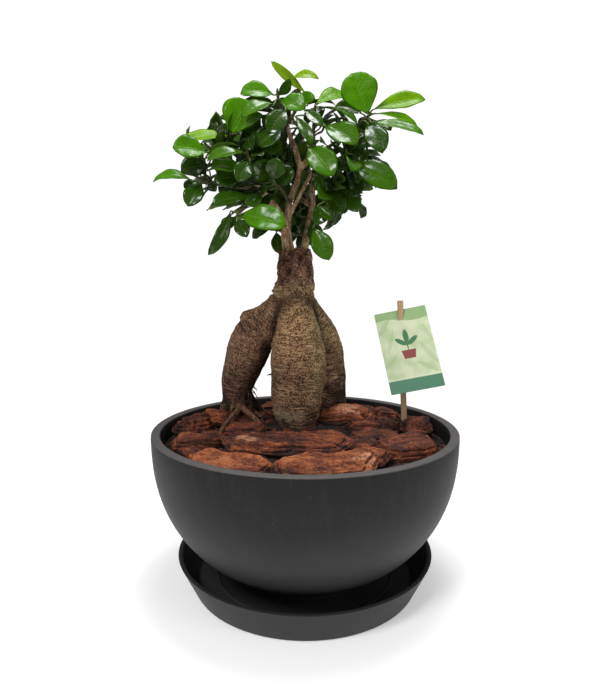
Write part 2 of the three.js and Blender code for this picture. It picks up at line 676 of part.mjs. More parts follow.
// The bark chips: [x, y, length, width, thickness, yaw, front tilt, side tilt, lift], lowest
// first, in degrees and millimetres. Each rests in the soil or on the chips under it.
const CHIPS = [
  [-67, -96, 76, 25, 12, -18, 20, 2, 3],
  [20, -105, 88, 33, 13, 2, 24, -2, 2],
  [-111, 14, 68, 36, 20, 74, 0, 6, 5],
  [-97, -44, 56, 28, 15, 28, 10, 0, 4],
  [-66, 14, 38, 26, 12, 40, 15, 0, 3],
  [42, 28, 60, 38, 18, -8, 20, 0, 5],
  [88, 50, 28, 22, 15, 20, 0, 5, 5],
  [68, -28, 52, 26, 8, 6, 10, 0, 2],
  [90, -62, 60, 33, 17, 26, 14, 0, 4],
  [54, -86, 32, 24, 14, -24, 14, 0, 4],
  [115, 6, 46, 32, 17, 75, 0, 4, 6],
  [64, 96, 40, 28, 12, -35, 0, 0, 2],
  [92, 80, 38, 26, 12, -50, 0, 4, 2],
  [111, 50, 36, 24, 12, 110, 0, 0, 2],
  [-107, 62, 44, 28, 12, 58, 0, 5, 2],
  [-74, 95, 48, 28, 12, 37, 0, 0, 2],
  [-28, 118, 52, 24, 12, 13, 0, 3, 1],
  [24, 118, 50, 26, 12, -11, 0, 0, 1],
  [-98, -70, 44, 24, 12, -54, 6, 0, 1],
  [48, -56, 42, 28, 10, -20, 8, 0, 1],
  [110, -46, 34, 24, 10, 70, 0, 0, 1],
  [62, 2, 38, 24, 11, 15, 8, 0, 2],
  [86, 16, 28, 20, 11, -30, 0, 5, 3],
  [-36, 50, 32, 22, 10, 30, 0, 0, 2],
  [64, 62, 34, 24, 11, -30, 0, 0, 2],
  [-58, 84, 30, 22, 10, 20, 0, 0, 2],
  [14, 92, 30, 20, 10, 0, 0, 0, 2],
  [-114, -14, 32, 24, 11, 80, 0, 0, 1],
  [-24, -128, 34, 14, 9, -4, 10, 0, 1],
  [-62, -14, 46, 26, 10, 10, 8, 0, 4],
  [-15, -63, 118, 42, 12, 0, 7, 1, 4],
  [-92, 26, 30, 24, 14, 0, 0, 8, 9],
];
const groundZ = (x, y) => SOIL_EDGE_Z + SOIL_MOUND * (1 - (x * x + y * y) / 19600);
const CHIP_SIDES = 7;

function chip(row, seed, grow = 0) {
  const [x, y, long, wide, thick, yaw, front, side, lift] = row;
  const levels = [
    { inset: 0.8, z: -0.5 },
    { inset: 1, z: -0.12 },
    { inset: 0.86, z: 0.5 },
  ];
  const turn = new THREE.Euler(front * DEG, side * DEG, yaw * DEG, "ZYX");
  const centre = new THREE.Vector3(x, y, groundZ(x, y) + lift);
  const rings = levels.map((level, j) => {
    const ring = [];
    for (let k = 0; k < CHIP_SIDES; k++) {
      const a = (2 * Math.PI * (k + 0.3 * chance(seed * 23 + k))) / CHIP_SIDES;
      const reach = 0.92 + 0.24 * chance(seed * 7 + k * 3) + 0.06 * chance(seed + k + j * 40);
      const c = Math.sign(Math.cos(a)) * Math.abs(Math.cos(a)) ** 0.7;
      const s = Math.sign(Math.sin(a)) * Math.abs(Math.sin(a)) ** 0.7;
      const bump = j < 2 ? 0 : 0.22 * (chance(seed * 3 + k * 5 + j) - 0.5);
      const at = new THREE.Vector3(
        c * ((long / 2) * reach * level.inset + grow),
        s * ((wide / 2) * reach * level.inset + grow),
        thick * (level.z + bump) + Math.sign(level.z) * (j === 1 ? 0 : grow),
      );
      ring.push(at.applyEuler(turn).add(centre));
    }
    return ring;
  });
  return solid(skin(rings));
}

let rootSleeve = null;
for (const root of ROOTS) {
  rootSleeve = fuse(rootSleeve, rootLimb(root, GAP + 0.1));
}

// The label: a wooden stick in the soil, threaded through a slit in the card
const stickTurn = new THREE.Euler(0, STICK.lean * DEG, 0);
const stickBox = (grow) => {
  const box = new THREE.BoxGeometry(STICK.width + grow, STICK.thick + grow, STICK.length + grow);
  box.translate(0, 0, STICK.length / 2);
  box.applyQuaternion(new THREE.Quaternion().setFromEuler(stickTurn));
  box.translate(...STICK.foot);
  return solid(box);
};
const stickSleeve = stickBox(2 * GAP);

const laid = [];
CHIPS.forEach((row, i) => {
  let made = chip(row, i + 1).subtract(rootSleeve).subtract(stickSleeve);
  laid.forEach((under) => {
    made = made.subtract(under);
  });
  place("bark_chip_" + String(i + 1).padStart(2, "0"), largest(made), BARK_LOOK);
  laid.push(chip(row, i + 1, GAP + 0.1));
});

// The soil fills the pot, is mounded towards the roots and is dented under the chips
const soilProfile = [
  [0, POT_FLOOR_Z + GAP],
  [cavityR(21.5) - 8 - GAP, POT_FLOOR_Z + GAP],
  ...[...innerHeights].reverse().map((z) => [cavityR(z) - GAP - 0.2, z + GAP]),
  [cavityR(SOIL_EDGE_Z) - GAP - 0.2, SOIL_EDGE_Z + 1],
  [118, groundZ(118, 0)],
  [86, groundZ(86, 0)],
  [50, groundZ(50, 0)],
  [0, groundZ(0, 0)],
];
let soil = turned(soilProfile, ROUND / 2).subtract(rootSleeve).subtract(stickSleeve);
laid.forEach((under) => {
  soil = soil.subtract(under);
});
place("soil", largest(soil), SOIL_LOOK);
place("label_stick", stickBox(0), STICK_LOOK);

function cardShape() {
  const w = CARD.width / 2;
  const h = CARD.height / 2;
  const c = CARD.corner;
  const shape = new THREE.Shape();
  shape.moveTo(-w + c, -h);
  shape.lineTo(w - c, -h);
  shape.lineTo(w, -h + c);
  shape.lineTo(w, h - c);
  shape.lineTo(w - c, h);
  shape.lineTo(-w + c, h);
  shape.lineTo(-w, h - c);
  shape.lineTo(-w, -h + c);
  return shape;
}
const cardSolid = solid(
  new THREE.ExtrudeGeometry(cardShape(), { depth: CARD.thick, bevelEnabled: false })
    .translate(0, 0, -CARD.thick / 2)
    .rotateX(Math.PI / 2)
    .rotateY(CARD_TURN[2] * DEG)
    .rotateX(CARD_TURN[0] * DEG)
    .rotateZ(CARD_TURN[1] * DEG)
    .translate(...CARD.at),
);
place("label_card", largest(cardSolid.subtract(stickBox(1.2))), CARD_LOOK);

export default group;
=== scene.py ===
import math

import bmesh
import bpy
import numpy as np
from mathutils import Euler, Matrix, Vector, noise


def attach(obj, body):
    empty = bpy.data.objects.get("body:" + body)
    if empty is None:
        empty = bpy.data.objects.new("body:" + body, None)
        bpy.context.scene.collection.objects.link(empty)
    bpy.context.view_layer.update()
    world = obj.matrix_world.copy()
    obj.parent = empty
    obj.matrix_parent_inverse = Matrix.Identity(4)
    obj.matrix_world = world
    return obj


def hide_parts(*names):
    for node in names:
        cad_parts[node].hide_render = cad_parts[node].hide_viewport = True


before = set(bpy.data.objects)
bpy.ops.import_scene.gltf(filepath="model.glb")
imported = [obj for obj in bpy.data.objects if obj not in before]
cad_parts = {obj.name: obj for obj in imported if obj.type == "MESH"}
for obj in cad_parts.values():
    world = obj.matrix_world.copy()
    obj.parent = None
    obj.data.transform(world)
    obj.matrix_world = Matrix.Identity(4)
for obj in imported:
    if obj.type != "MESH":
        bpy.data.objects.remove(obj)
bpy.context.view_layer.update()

# Sizes are in millimetres, as in the part's drawing, and become metres when a mesh is made.
MM = 0.001
UP = np.array([0.0, 0.0, 1.0])
BODY = "root"

RIM_R = 150
RIM_Z = 156
POT_FOOT_Z = 5.3
FOOT_R = 62
FOOT_TOP_Z = 12
WALL = 9
LIP = 2.6
POT_FLOOR_Z = 18
DRAIN_R = 8
SAUCER_RIM_R = 128
SAUCER_BASE_R = 112.8
SAUCER_H = 32.6
SAUCER_WALL = 5
SAUCER_FLOOR = 5
SAUCER_RIB_R = 88.5
SOIL_EDGE_Z = 141
SOIL_MOUND = 13
MOUND_R = 140
SOIL_GAP = 0.6
LEAF_THICK = 0.8
PETIOLE_R = 0.8
TWIG_R = 1.5
STICK = {"width": 6, "thick": 2, "length": 176.5, "foot": (107.7, 25, 104), "lean": -3.2}
CARD = {"width": 53, "height": 87.5, "thick": 0.6, "corner": 0.6, "at": (104.4, 9, 232.2)}
CARD_TURN = (-26, -9.5, -12.9)
CARD_RATIO = 0.606  # the card's breadth over its height
TURNED_SIDES = 160
FLOOR_R = 900

# The camera was fitted to the photo. It and the lights are placed in metres.
LENS = 27.98
CAMERA_AT = (-0.0049, -0.535, 0.298)
CAMERA_TILT = 83
LIGHTS = {  # where each one hangs, the height that it looks at, its side and its power
    "key": ((-0.6, -1.0, 1.3), 0.3, 0.4, 12),
    "fill": ((1.2, -0.9, 0.75), 0.25, 0.7, 4.5),
    "top": ((0.1, 0.1, 1.5), 0.3, 0.55, 11),
}

# Printed leaf shapes of the card: (x, y, half length, half breadth, turn), x and y from 0 to 1
SOFT_LEAVES = [
    (0.12, 0.8, 0.13, 0.028, 0.9), (0.2, 0.62, 0.15, 0.022, 1.2), (0.86, 0.42, 0.16, 0.028, 2.1),
    (0.78, 0.26, 0.13, 0.024, 2.5), (0.08, 0.35, 0.13, 0.024, 0.7), (0.92, 0.66, 0.12, 0.02, 1.9),
]
SPROUT = [
    (0.5, 0.66, 0.085, 0.032, 1.57), (0.39, 0.6, 0.075, 0.028, 2.5), (0.61, 0.6, 0.075, 0.028, 0.64),
    (0.5, 0.55, 0.07, 0.007, 1.57),
]


# Numbers and vectors
def chance(n):
    """A repeatable number from 0 to 1 for each n."""
    s = math.sin(n * 127.1 + 311.7) * 43758.5453
    return s - math.floor(s)


def unit(v):
    return v / np.linalg.norm(v)


def mix(a, b, t):
    return a + (b - a) * t


def saturate(x):
    """The numbers with those under 0 raised to 0 and those over 1 lowered to 1."""
    return np.clip(x, 0, 1)


def ease(x, low, high):
    """0 below low, 1 above high and a smooth step between."""
    t = saturate((x - low) / (high - low))
    return t * t * (3 - 2 * t)


def bell(x, width, power=2):
    """1 at 0, with a soft fall towards 0 on both sides, at about a width."""
    return np.exp(-(x / width) ** power)


def fractal(points, size, octaves, seed):
    """Smooth noise from about -1 to 1 at each point, with lumps of the given size."""
    shift = Vector((seed * 7.3, seed * 3.1, -seed * 5.7))
    return np.array([noise.fractal(Vector(p) / size + shift, 1.0, 2.0, octaves) for p in points])


def round_angles(count):
    """The angles of points that are spread evenly round a ring."""
    return 2 * np.pi * np.arange(count) / count


# Lines, rings and skins
def curve(p0, p1, p2, p3, u):
    """The point at the share u from p1 to p2 of a smooth line through four points."""
    bend = 2 * p0 - 5 * p1 + 4 * p2 - p3
    twist = -p0 + 3 * p1 - 3 * p2 + p3
    return 0.5 * (2 * p1 + (p2 - p0) * u + bend * u ** 2 + twist * u ** 3)


def line_at(points, t):
    """The point at the share t of a smooth line through points."""
    points = np.asarray(points, float)
    last = len(points) - 1
    span = min(last - 1, int(t * last))
    near = [points[min(last, max(0, span + i))] for i in (-1, 0, 1, 2)]
    return curve(*near, t * last - span)


def limb_rings(path, sides, steps, swell=0.0):
    """Rings of points round a smooth line through points (x, y, z, radius)."""
    path = np.asarray(path, float)
    reference = np.eye(3)[int(np.argmin(np.abs(path[-1, :3] - path[0, :3])))]
    angles = round_angles(sides)
    rings = []
    for t in (i / steps for i in range(steps + 1)):
        here = line_at(path, t)
        ahead, behind = line_at(path, min(1, t + 0.01)), line_at(path, max(0, t - 0.01))
        along = unit((ahead - behind)[:3])
        side = unit(reference - along * reference.dot(along))
        out = np.cross(along, side)
        lump = np.sin(2 * angles + here[2] / 31 + 1.3) + 0.7 * np.sin(3 * angles - here[2] / 19)
        r = here[3] * (1 + swell * lump)
        rings.append(here[:3] + np.outer(r * np.cos(angles), side) + np.outer(r * np.sin(angles), out))
    return np.array(rings)


def sleeve(rows, count):
    """The faces between rows of points that run round."""
    faces = []
    for i in range(rows - 1):
        for k in range(count):
            a, b = i * count + k, i * count + (k + 1) % count
            faces.append((a, b, b + count, a + count))
    return faces


def skin(rings):
    """The points and faces of a closed skin over rings of points."""
    rows, count = rings.shape[:2]
    points = np.vstack([rings.reshape(-1, 3), rings[0].mean(0), rings[-1].mean(0)])
    faces = sleeve(rows, count)
    first, last = rows * count, (rows - 1) * count
    for k in range(count):
        after = (k + 1) % count
        faces += [(first, after, k), (first + 1, last + k, last + after)]
    return points, faces


def gather(parts):
    """Several (points, faces) pairs as one."""
    points, faces, start = [], [], 0
    for some, theirs in parts:
        points.append(some)
        faces += [tuple(i + start for i in face) for face in theirs]
        start += len(some)
    return np.vstack(points), faces


def tube(path, sides, steps, swell=0.0):
    return skin(limb_rings(path, sides, steps, swell))


# Objects
def show(name, data):
    """An object in the scene for a mesh, a lamp or a camera."""
    made = bpy.data.objects.new(name, data)
    bpy.context.scene.collection.objects.link(made)
    return made


def place(name, points, faces, *materials, smooth=True):
    mesh = bpy.data.meshes.new(name)
    mesh.from_pydata((np.asarray(points) * MM).tolist(), [], faces)
    for material in materials:
        mesh.materials.append(material)
    if smooth:
        mesh.shade_smooth()
    return show(name, mesh)


def mark(piece, **layers):
    """Keeps numbers or vectors for the vertices, each under a name that nodes can read."""
    for name, values in layers.items():
        values = np.asarray(values, np.float32)
        kind, field = ("FLOAT", "value") if values.ndim == 1 else ("FLOAT_VECTOR", "vector")
        layer = piece.data.attributes.new(name, kind, "POINT")
        layer.data.foreach_set(field, values.ravel())


def triples(items, field):
    flat = np.zeros(len(items) * 3, np.float32)
    items.foreach_get(field, flat)
    return flat.reshape(-1, 3).astype(float)


def points_of(piece):
    return triples(piece.data.vertices, "co") / MM


def normals_of(piece):
    return triples(piece.data.vertex_normals, "vector")


def move_points(piece, points):
    piece.data.vertices.foreach_set("co", (points * MM).astype(np.float32).ravel())
    piece.data.update()


def change(piece, kind, inputs=None, **settings):
    """Puts a piece through a modifier, whose result becomes its plain mesh. The inputs of a
    node group are given by name."""
    modifier = piece.modifiers.new(kind.lower(), kind)
    for name, value in settings.items():
        setattr(modifier, name, value)
    if inputs:
        for item in modifier.node_group.interface.items_tree:
            if item.in_out == "INPUT" and item.name in inputs:
                modifier[item.identifier] = inputs[item.name]
    bpy.context.view_layer.update()
    graph = bpy.context.evaluated_depsgraph_get()
    made = bpy.data.meshes.new_from_object(piece.evaluated_get(graph), depsgraph=graph)
    piece.modifiers.clear()
    piece.data = made
    made.name = piece.name


def fuse(piece, voxel, rounds):
    """Makes one softened skin of limbs that run into each other."""
    change(piece, "REMESH", mode="VOXEL", voxel_size=voxel * MM, use_smooth_shade=True)
    change(piece, "SMOOTH", factor=0.5, iterations=rounds)


def hand_over(piece, finish, *nodes):
    """The piece rides on the plant's body and stands for nodes, which are hidden. Its finish is not
    used.
    """
    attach(piece, BODY)
    if nodes:
        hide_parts(*nodes)


# Node trees are written as expressions
class Term:
    """A socket that takes part in Python expressions, which add the nodes they need."""

    def __init__(self, net, socket):
        self.net = net
        self.socket = socket

    def step(self, low, high):
        """0 at low, 1 at high, also where high is the smaller of the two."""
        sockets = {"Value": self, "From Min": low, "From Max": high}
        return self.net.get("ShaderNodeMapRange", sockets, interpolation_type="SMOOTHSTEP")

    def part(self, axis):
        """One of a vector's three numbers."""
        return self.net.get("ShaderNodeSeparateXYZ", {0: self}, axis)


def is_vector(part):
    if isinstance(part, Term):
        return part.socket.type == "VECTOR"
    return isinstance(part, tuple)


def maths(operation, swapped=False):
    """A method for Term that adds a node for numbers or, where one takes part, for vectors."""
    def method(*terms):
        net = terms[0].net
        terms = terms[::-1] if swapped else terms
        vectors = [is_vector(term) for term in terms]
        if not any(vectors):
            return net.get("ShaderNodeMath", dict(enumerate(terms)), operation=operation)
        if operation == "MULTIPLY" and not all(vectors):
            number, line = sorted(terms, key=is_vector)
            sockets = {0: line, "Scale": number}
            return net.get("ShaderNodeVectorMath", sockets, operation="SCALE")
        return net.get("ShaderNodeVectorMath", dict(enumerate(terms)), operation=operation)
    return method


for name, operation in {"add": "ADD", "sub": "SUBTRACT", "mul": "MULTIPLY"}.items():
    setattr(Term, f"__{name}__", maths(operation))
    setattr(Term, f"__r{name}__", maths(operation, swapped=True))
for name, operation in {
    "__truediv__": "DIVIDE", "__pow__": "POWER", "sin": "SINE", "abs": "ABSOLUTE",
    "fract": "FRACT", "exp": "EXPONENT", "most": "MAXIMUM", "cross": "CROSS_PRODUCT",
}.items():
    setattr(Term, name, maths(operation))


class Net:
    """A node tree in the making. Nodes come back as Terms of one of their outputs."""

    def __init__(self, tree):
        self.tree = tree

    def get(self, kind, sockets, out=0, **settings):
        """A new node, with its settings made and its sockets filled or linked."""
        node = self.tree.nodes.new(kind)
        for name, value in settings.items():
            setattr(node, name, value)
        for key, value in sockets.items():
            if isinstance(value, Term):
                self.tree.links.new(value.socket, node.inputs[key])
            else:
                node.inputs[key].default_value = value
        return Term(self, node.outputs[out]) if len(node.outputs) else None

    def where(self):
        return self.get("ShaderNodeTexCoord", {}, "Object")

    def mark(self, name, out="Fac"):
        return self.get("ShaderNodeAttribute", {}, out, attribute_name=name)

    def cloud(self, size, detail=2, rough=0.5, warp=0.0, at=None):
        """Noise from 0 to 1 over a piece, or at a vector, with lumps of a size in millimetres."""
        sockets = {"Vector": at or self.where(), "Scale": 1 / (size * MM), "Detail": detail}
        return self.get("ShaderNodeTexNoise", {**sockets, "Roughness": rough, "Distortion": warp})

    def coats(self, colour, *layers):
        """A colour under layers of (share, colour)."""
        for share, tint in layers:
            below, above = (c if isinstance(c, Term) else (*c, 1) for c in (colour, tint))
            sockets = {0: share, 6: below, 7: above}
            colour = self.get("ShaderNodeMix", sockets, 2, data_type="RGBA")
        return colour

    def ramp(self, share, *stops):
        """A colour for a share, between stops of (share, red, green, blue)."""
        made = self.get("ShaderNodeValToRGB", {0: share})
        elements = made.socket.node.color_ramp.elements
        while len(elements) < len(stops):
            elements.new(0.5)
        for element, (at, *colour) in zip(elements, stops):
            element.position = at
            element.color = (*colour, 1)
        return made

    def surface(self, colour, rough, height, deep, shine=0.5, **others):
        """The sockets of a shader by name. A height of 0 to 1 stands for so many millimetres."""
        relief = {"Height": height, "Distance": deep * MM, "Strength": 1.0}
        return {"Base Color": colour, "Roughness": rough, "Specular IOR Level": shine,
                "Normal": self.get("ShaderNodeBump", relief), **others}


def finish(paint):
    """Turns a paint function, which gives a shader's sockets, into a material of its name."""
    material = bpy.data.materials.new(paint.__name__)
    material.use_nodes = True
    material.node_tree.nodes.clear()
    net = Net(material.node_tree)
    shader = net.get("ShaderNodeBsdfPrincipled", paint(net))
    net.get("ShaderNodeOutputMaterial", {"Surface": shader})
    return material


# Finishes
@finish
def pot_plastic(net):
    """Dull black plastic with smudges of dust, painted lighter low down and in the saucer and darker
    towards the top, and with a painted highlight on the top of the lip.
    """
    where = net.where()
    height = where.part(2)
    smudge = net.cloud(55, 3)
    wipe = net.cloud(9, 4, 0.7, at=where * (1, 1, 0.3))
    cells = net.get("ShaderNodeTexVoronoi", {"Vector": where, "Scale": 1 / (7 * MM)}, "Distance")
    # Painted light: besides the smudges of dust, the colour turns lighter below 135 mm, and fully so
    # below 45 mm, which lifts the pot's foot and the whole saucer.
    dust_and_painted_light = (smudge - 0.5) * 0.8 + height.step(0.135, 0.045)
    # Painted highlight: the flat top of the lip is painted lighter, broken up by the wipe marks.
    lip = height.step((RIM_Z - 1.6) * MM, (RIM_Z - 0.5) * MM)
    colour = net.coats(
        (0.0125, 0.012, 0.0118),
        (dust_and_painted_light.step(0, 1), (0.031, 0.0301, 0.0293)),
        (wipe.step(0.45, 0.8) * 0.3, (0.042, 0.04, 0.038)),
        (cells.step(0.075, 0.045) * 0.25, (0.18, 0.17, 0.15)),
        (lip * (wipe * 0.5 + 0.6), (0.115, 0.11, 0.106)),
    )
    return net.surface(colour, smudge * 0.12 + wipe * 0.14 + 0.4, net.cloud(0.8), 0.05, 0.2)


@finish
def potting_soil(net):
    crumb = net.cloud(1.6, 3, 0.7)
    colour = net.ramp(net.cloud(9, 5, 0.7) * 0.6 + crumb * 0.4, (0.3, 0.006, 0.004, 0.003),
                      (0.5, 0.016, 0.009, 0.007), (0.72, 0.045, 0.022, 0.015))
    return net.surface(colour, 0.95, crumb, 0.7)


@finish
def perlite(net):
    crumb = net.cloud(0.9, 3)
    return net.surface(net.coats((0.4, 0.38, 0.35), (crumb, (0.75, 0.74, 0.7))), 0.9, crumb, 0.3)


@finish
def pine_bark(net):
    """Pine bark: thin plates of cork, orange where they are fresh, purple brown where not. Painted
    highlights lighten the layers' top rims and the raised relief, and painted shade darkens the
    grooves, each layer's foot and the parts near the ground.
    """
    broad = net.cloud(26, 2, 0.5, 0.4)
    patch = net.cloud(8, 3, 0.6)
    fine = net.cloud(2.6, 3, 0.7)
    grit = net.cloud(0.9, 2, 0.7)
    streak = net.cloud(1.7, 3, 0.65, at=net.mark("grain", "Vector"))
    share = net.mark("tone") + (broad - 0.5) * 1.1 + (patch - 0.5) * 0.5 + (fine - 0.5) * 1.2
    # Painted highlight: the rise mark lightens the top rims of the layers and the raised relief.
    share = share + (streak - 0.5) * 0.9 + (grit - 0.5) * 1.2 + net.mark("rise") * 0.3
    colour = net.coats(
        net.ramp(share, (0.0, 0.012, 0.004, 0.003), (0.2, 0.042, 0.011, 0.007),
                 (0.42, 0.11, 0.027, 0.013), (0.62, 0.2, 0.048, 0.017),
                 (0.82, 0.32, 0.084, 0.025), (1.0, 0.46, 0.15, 0.055)),
        (net.cloud(15, 4, 0.7).step(0.56, 0.74) * 0.4, (0.085, 0.032, 0.03)),
        (net.mark("torn") * (fine - 0.5).step(-0.2, 0.08) * 0.9, (0.66, 0.31, 0.18)),
        # Painted shade: darker in the grooves and along the foot of each layer.
        (net.mark("hollow").step(0.1, 0.9) * 0.8, (0.009, 0.003, 0.002)),
        # Painted shade: darker where a chip comes near the ground and on its lower side.
        (net.mark("buried") * 0.92, (0.009, 0.004, 0.003)),
    )
    return net.surface(colour, grit * 0.3 + 0.38, streak * 0.6 + fine * 0.7 + grit * 0.4, 2.2, 0.38)


@finish
def trunk_bark(net):
    """Swollen bark with fine pale cross lines below, and rough brown bark on the neck. Painted shade
    darkens its furrows, knots, creases, the hollow under the scar and the left leg's side that faces
    right; it is also darker low down.
    """
    bands = net.mark("bands", "Vector")
    rise = net.mark("rise")
    ruddy = net.mark("ruddy")
    patch = net.cloud(7, 3, 0.6)
    fine = net.cloud(1.5, 2, 0.75)
    grain = net.cloud(0.9, 1)
    dashes = net.cloud(1.25, 2, 0.6, at=bands).step(0.53, 0.6)
    dashes = dashes * net.cloud(9, 2).step(0.3, 0.55) * (1 - ruddy * 0.5)
    splits = net.cloud(1.4, 2, 0.6, at=bands + (0.3, 0.1, 0.2)).step(0.44, 0.34)
    splits = splits * net.cloud(10, 2).step(0.34, 0.58)
    share = (net.cloud(24, 3, 0.6) - 0.5) * 0.9 + (patch - 0.5) * 0.5 + (fine - 0.5) * 3.2
    share = share + rise * 0.14 + 0.5 + (grain - 0.5) * 1.7
    rough = (patch - 0.5) * 0.6 + (fine - 0.5) * 3.0 + (grain - 0.5) * 1.5 + rise * 0.26 + 0.42
    moss = net.mark("moss") * net.cloud(12, 4, 0.7).step(0.3, 0.6)
    # Darker low down on the legs and the bulb, and painted shade on the left leg's side that faces
    # right.
    damp = net.mark("damp") * (patch * 0.6 + 0.6)
    spots = net.cloud(1.8, 2, 0.8).step(0.5, 0.62)
    colour = net.coats(
        net.ramp(share, (0.08, 0.026, 0.011, 0.006), (0.3, 0.1, 0.041, 0.021),
                 (0.5, 0.2, 0.09, 0.041), (0.7, 0.37, 0.19, 0.086), (0.92, 0.62, 0.38, 0.19)),
        (moss * 0.7, net.ramp(share, (0.15, 0.04, 0.03, 0.012), (0.45, 0.17, 0.128, 0.046),
                              (0.8, 0.46, 0.37, 0.17))),
        (ruddy * 0.7, net.ramp(share, (0.15, 0.016, 0.007, 0.006), (0.5, 0.092, 0.036, 0.025),
                               (0.85, 0.33, 0.16, 0.095))),
        (damp.step(0.05, 0.9) * 0.95, net.ramp(share, (0.25, 0.009, 0.004, 0.004),
                                               (0.5, 0.045, 0.017, 0.014), (0.9, 0.22, 0.11, 0.085))),
        (dashes * 0.85, (0.57, 0.36, 0.19)),
        (splits * 0.6, (0.03, 0.014, 0.009)),
        (net.mark("neck"), net.ramp(rough, (0.1, 0.02, 0.007, 0.005), (0.35, 0.085, 0.031, 0.02),
                                    (0.55, 0.175, 0.07, 0.045), (0.9, 0.46, 0.26, 0.17))),
        (net.mark("knot") * 0.75, (0.13, 0.048, 0.031)),
        (spots * (net.mark("grainy") * 0.8 + 0.12), (0.55, 0.41, 0.22)),
        # Painted shade: darker in the neck's furrows, the knots' pits and rings, under the scar and in
        # the creases between roots.
        (net.mark("hollow") * 0.9, (0.01, 0.005, 0.004)),
        (net.mark("crust") * patch.step(0.35, 0.6) * 0.8, (0.4, 0.32, 0.21)),
    )
    height = fine * 0.9 + patch * 0.2 + grain * 0.3 + dashes * 0.2 - splits * 0.35
    return net.surface(colour, patch * 0.2 + 0.62, height, 2.0, 0.25)


@finish
def branch_bark(net):
    patch = net.cloud(3.4, 4, 0.65, at=net.where() * (1, 1, 0.3))
    fine = net.cloud(1.4, 3, 0.7)
    colour = net.ramp(patch * 0.7 + fine * 0.5 - 0.08, (0.3, 0.045, 0.018, 0.009),
                      (0.46, 0.25, 0.125, 0.058), (0.62, 0.62, 0.46, 0.28))
    return net.surface(colour, 0.75, fine + patch, 0.5, 0.25)


@finish
def green_twig(net):
    fine = net.cloud(1.3, 3, 0.6)
    colour = net.coats((0.03, 0.024, 0.008), (fine.step(0.35, 0.7), (0.11, 0.085, 0.026)))
    return net.surface(colour, 0.6, fine, 0.15)


@finish
def petiole(net):
    fine = net.cloud(1.6, 2)
    return net.surface(net.coats((0.05, 0.09, 0.01), (fine, (0.13, 0.19, 0.03))), 0.45, fine, 0.05)


@finish
def leaf_blade(net):
    """A waxy blade, darker when old, with a pale midrib and fine side veins."""
    blade = net.mark("blade", "Vector")
    across, along, side = (blade.part(i) for i in range(3))
    young = net.mark("young")
    mottle = net.cloud(9, 3)
    out = across.abs()
    rib = out.step(0.06, 0.01) * along.step(1.0, 0.6)
    veins = (((along - out * 0.22) * 9).fract() * 2 - 1).abs().step(0.8, 1.0)
    veins = veins * out.step(1.0, 0.4) * along.step(0.02, 0.15)
    upper = net.coats(
        net.ramp(young, (0.0, 0.006, 0.018, 0.002), (0.25, 0.022, 0.062, 0.003),
                 (0.5, 0.048, 0.15, 0.002), (0.7, 0.085, 0.29, 0.001),
                 (0.85, 0.155, 0.34, 0.002), (1.0, 0.26, 0.42, 0.01)),
        (mottle.step(0.3, 0.75) * 0.35, (0.016, 0.05, 0.001)),
        (veins * 0.14, (0.2, 0.34, 0.02)),
        (rib * 0.25, (0.22, 0.36, 0.04)),
    )
    lower = net.coats(
        net.ramp(young, (0.0, 0.03, 0.06, 0.008), (0.5, 0.09, 0.19, 0.012), (1.0, 0.3, 0.48, 0.015)),
        (veins * 0.3 + rib * 0.4, (0.2, 0.31, 0.06)),
    )
    top = side.step(-0.15, 0.05)
    wax = top * net.cloud(6, 3, 0.6).step(0.38, 0.6) * (young.step(0.8, 0.2) * 0.8 + 0.1)
    height = mottle * 0.8 + net.cloud(4, 2) * 0.35 - rib * 0.3 - veins * 0.12
    height = height + net.cloud(0.8, 2) * 0.06
    return net.surface(net.coats(lower, (top, upper)), 0.45 - top * 0.25 + mottle * 0.06, height,
                       0.7, 0.07, **{"Coat Weight": wax, "Coat Roughness": 0.14})


@finish
def stick_wood(net):
    where = net.where()
    fibre = net.cloud(0.8, 3, 0.6, at=where * (1, 1, 0.05))
    broad = net.cloud(9, 2, at=where * (1, 1, 0.3))
    wood = net.ramp(fibre * 0.6 + broad * 0.4, (0.3, 0.27, 0.16, 0.075), (0.5, 0.5, 0.33, 0.17),
                    (0.75, 0.7, 0.52, 0.32))
    return net.surface(net.coats(wood, (net.mark("edge") * 0.5, (0.16, 0.09, 0.05))), 0.65, fibre, 0.25)


@finish
def card_print(net):
    """A pale green print: soft leaf shapes, a potted sprout and a dark band along the foot."""
    print_at = net.mark("print", "Vector")
    x, y = print_at.part(0), print_at.part(1)
    paper = net.cloud(0.5, 2)

    def oval(cx, cy, long, wide, turn):
        cos, sin = math.cos(turn), math.sin(turn)
        dx, dy = (x - cx) * CARD_RATIO, y - cy
        u, v = dx * cos + dy * sin, dy * cos - dx * sin
        return ((u / long) ** 2 + (v / wide) ** 2).step(1.06, 0.96)

    wave = y - 0.87 - (x * 5.5 + 0.6).sin() * 0.03
    slope = (x - 0.5).abs() + (0.52 - y) * 0.35
    bowl = slope.step(0.155, 0.145) * y.step(0.385, 0.39) * y.step(0.495, 0.49)
    colour = net.coats(
        (0.44, 0.54, 0.3),
        (net.cloud(16, 3).step(0.35, 0.65), (0.6, 0.66, 0.44)),
        *((oval(*at) * 0.4, (0.3, 0.44, 0.2)) for at in SOFT_LEAVES),
        (wave.step(0, 0.006) * 0.85, (0.2, 0.36, 0.12)),
        *((oval(*at), (0.035, 0.17, 0.055)) for at in SPROUT),
        (bowl, (0.24, 0.035, 0.028)),
        (y.step(0.15, 0.146), (0.06, 0.2, 0.115)),
        ((y - 0.163).abs().step(0.006, 0.004) * 0.7, (0.7, 0.76, 0.6)),
    )
    return net.surface(colour, paper * 0.1 + 0.42, paper, 0.03)


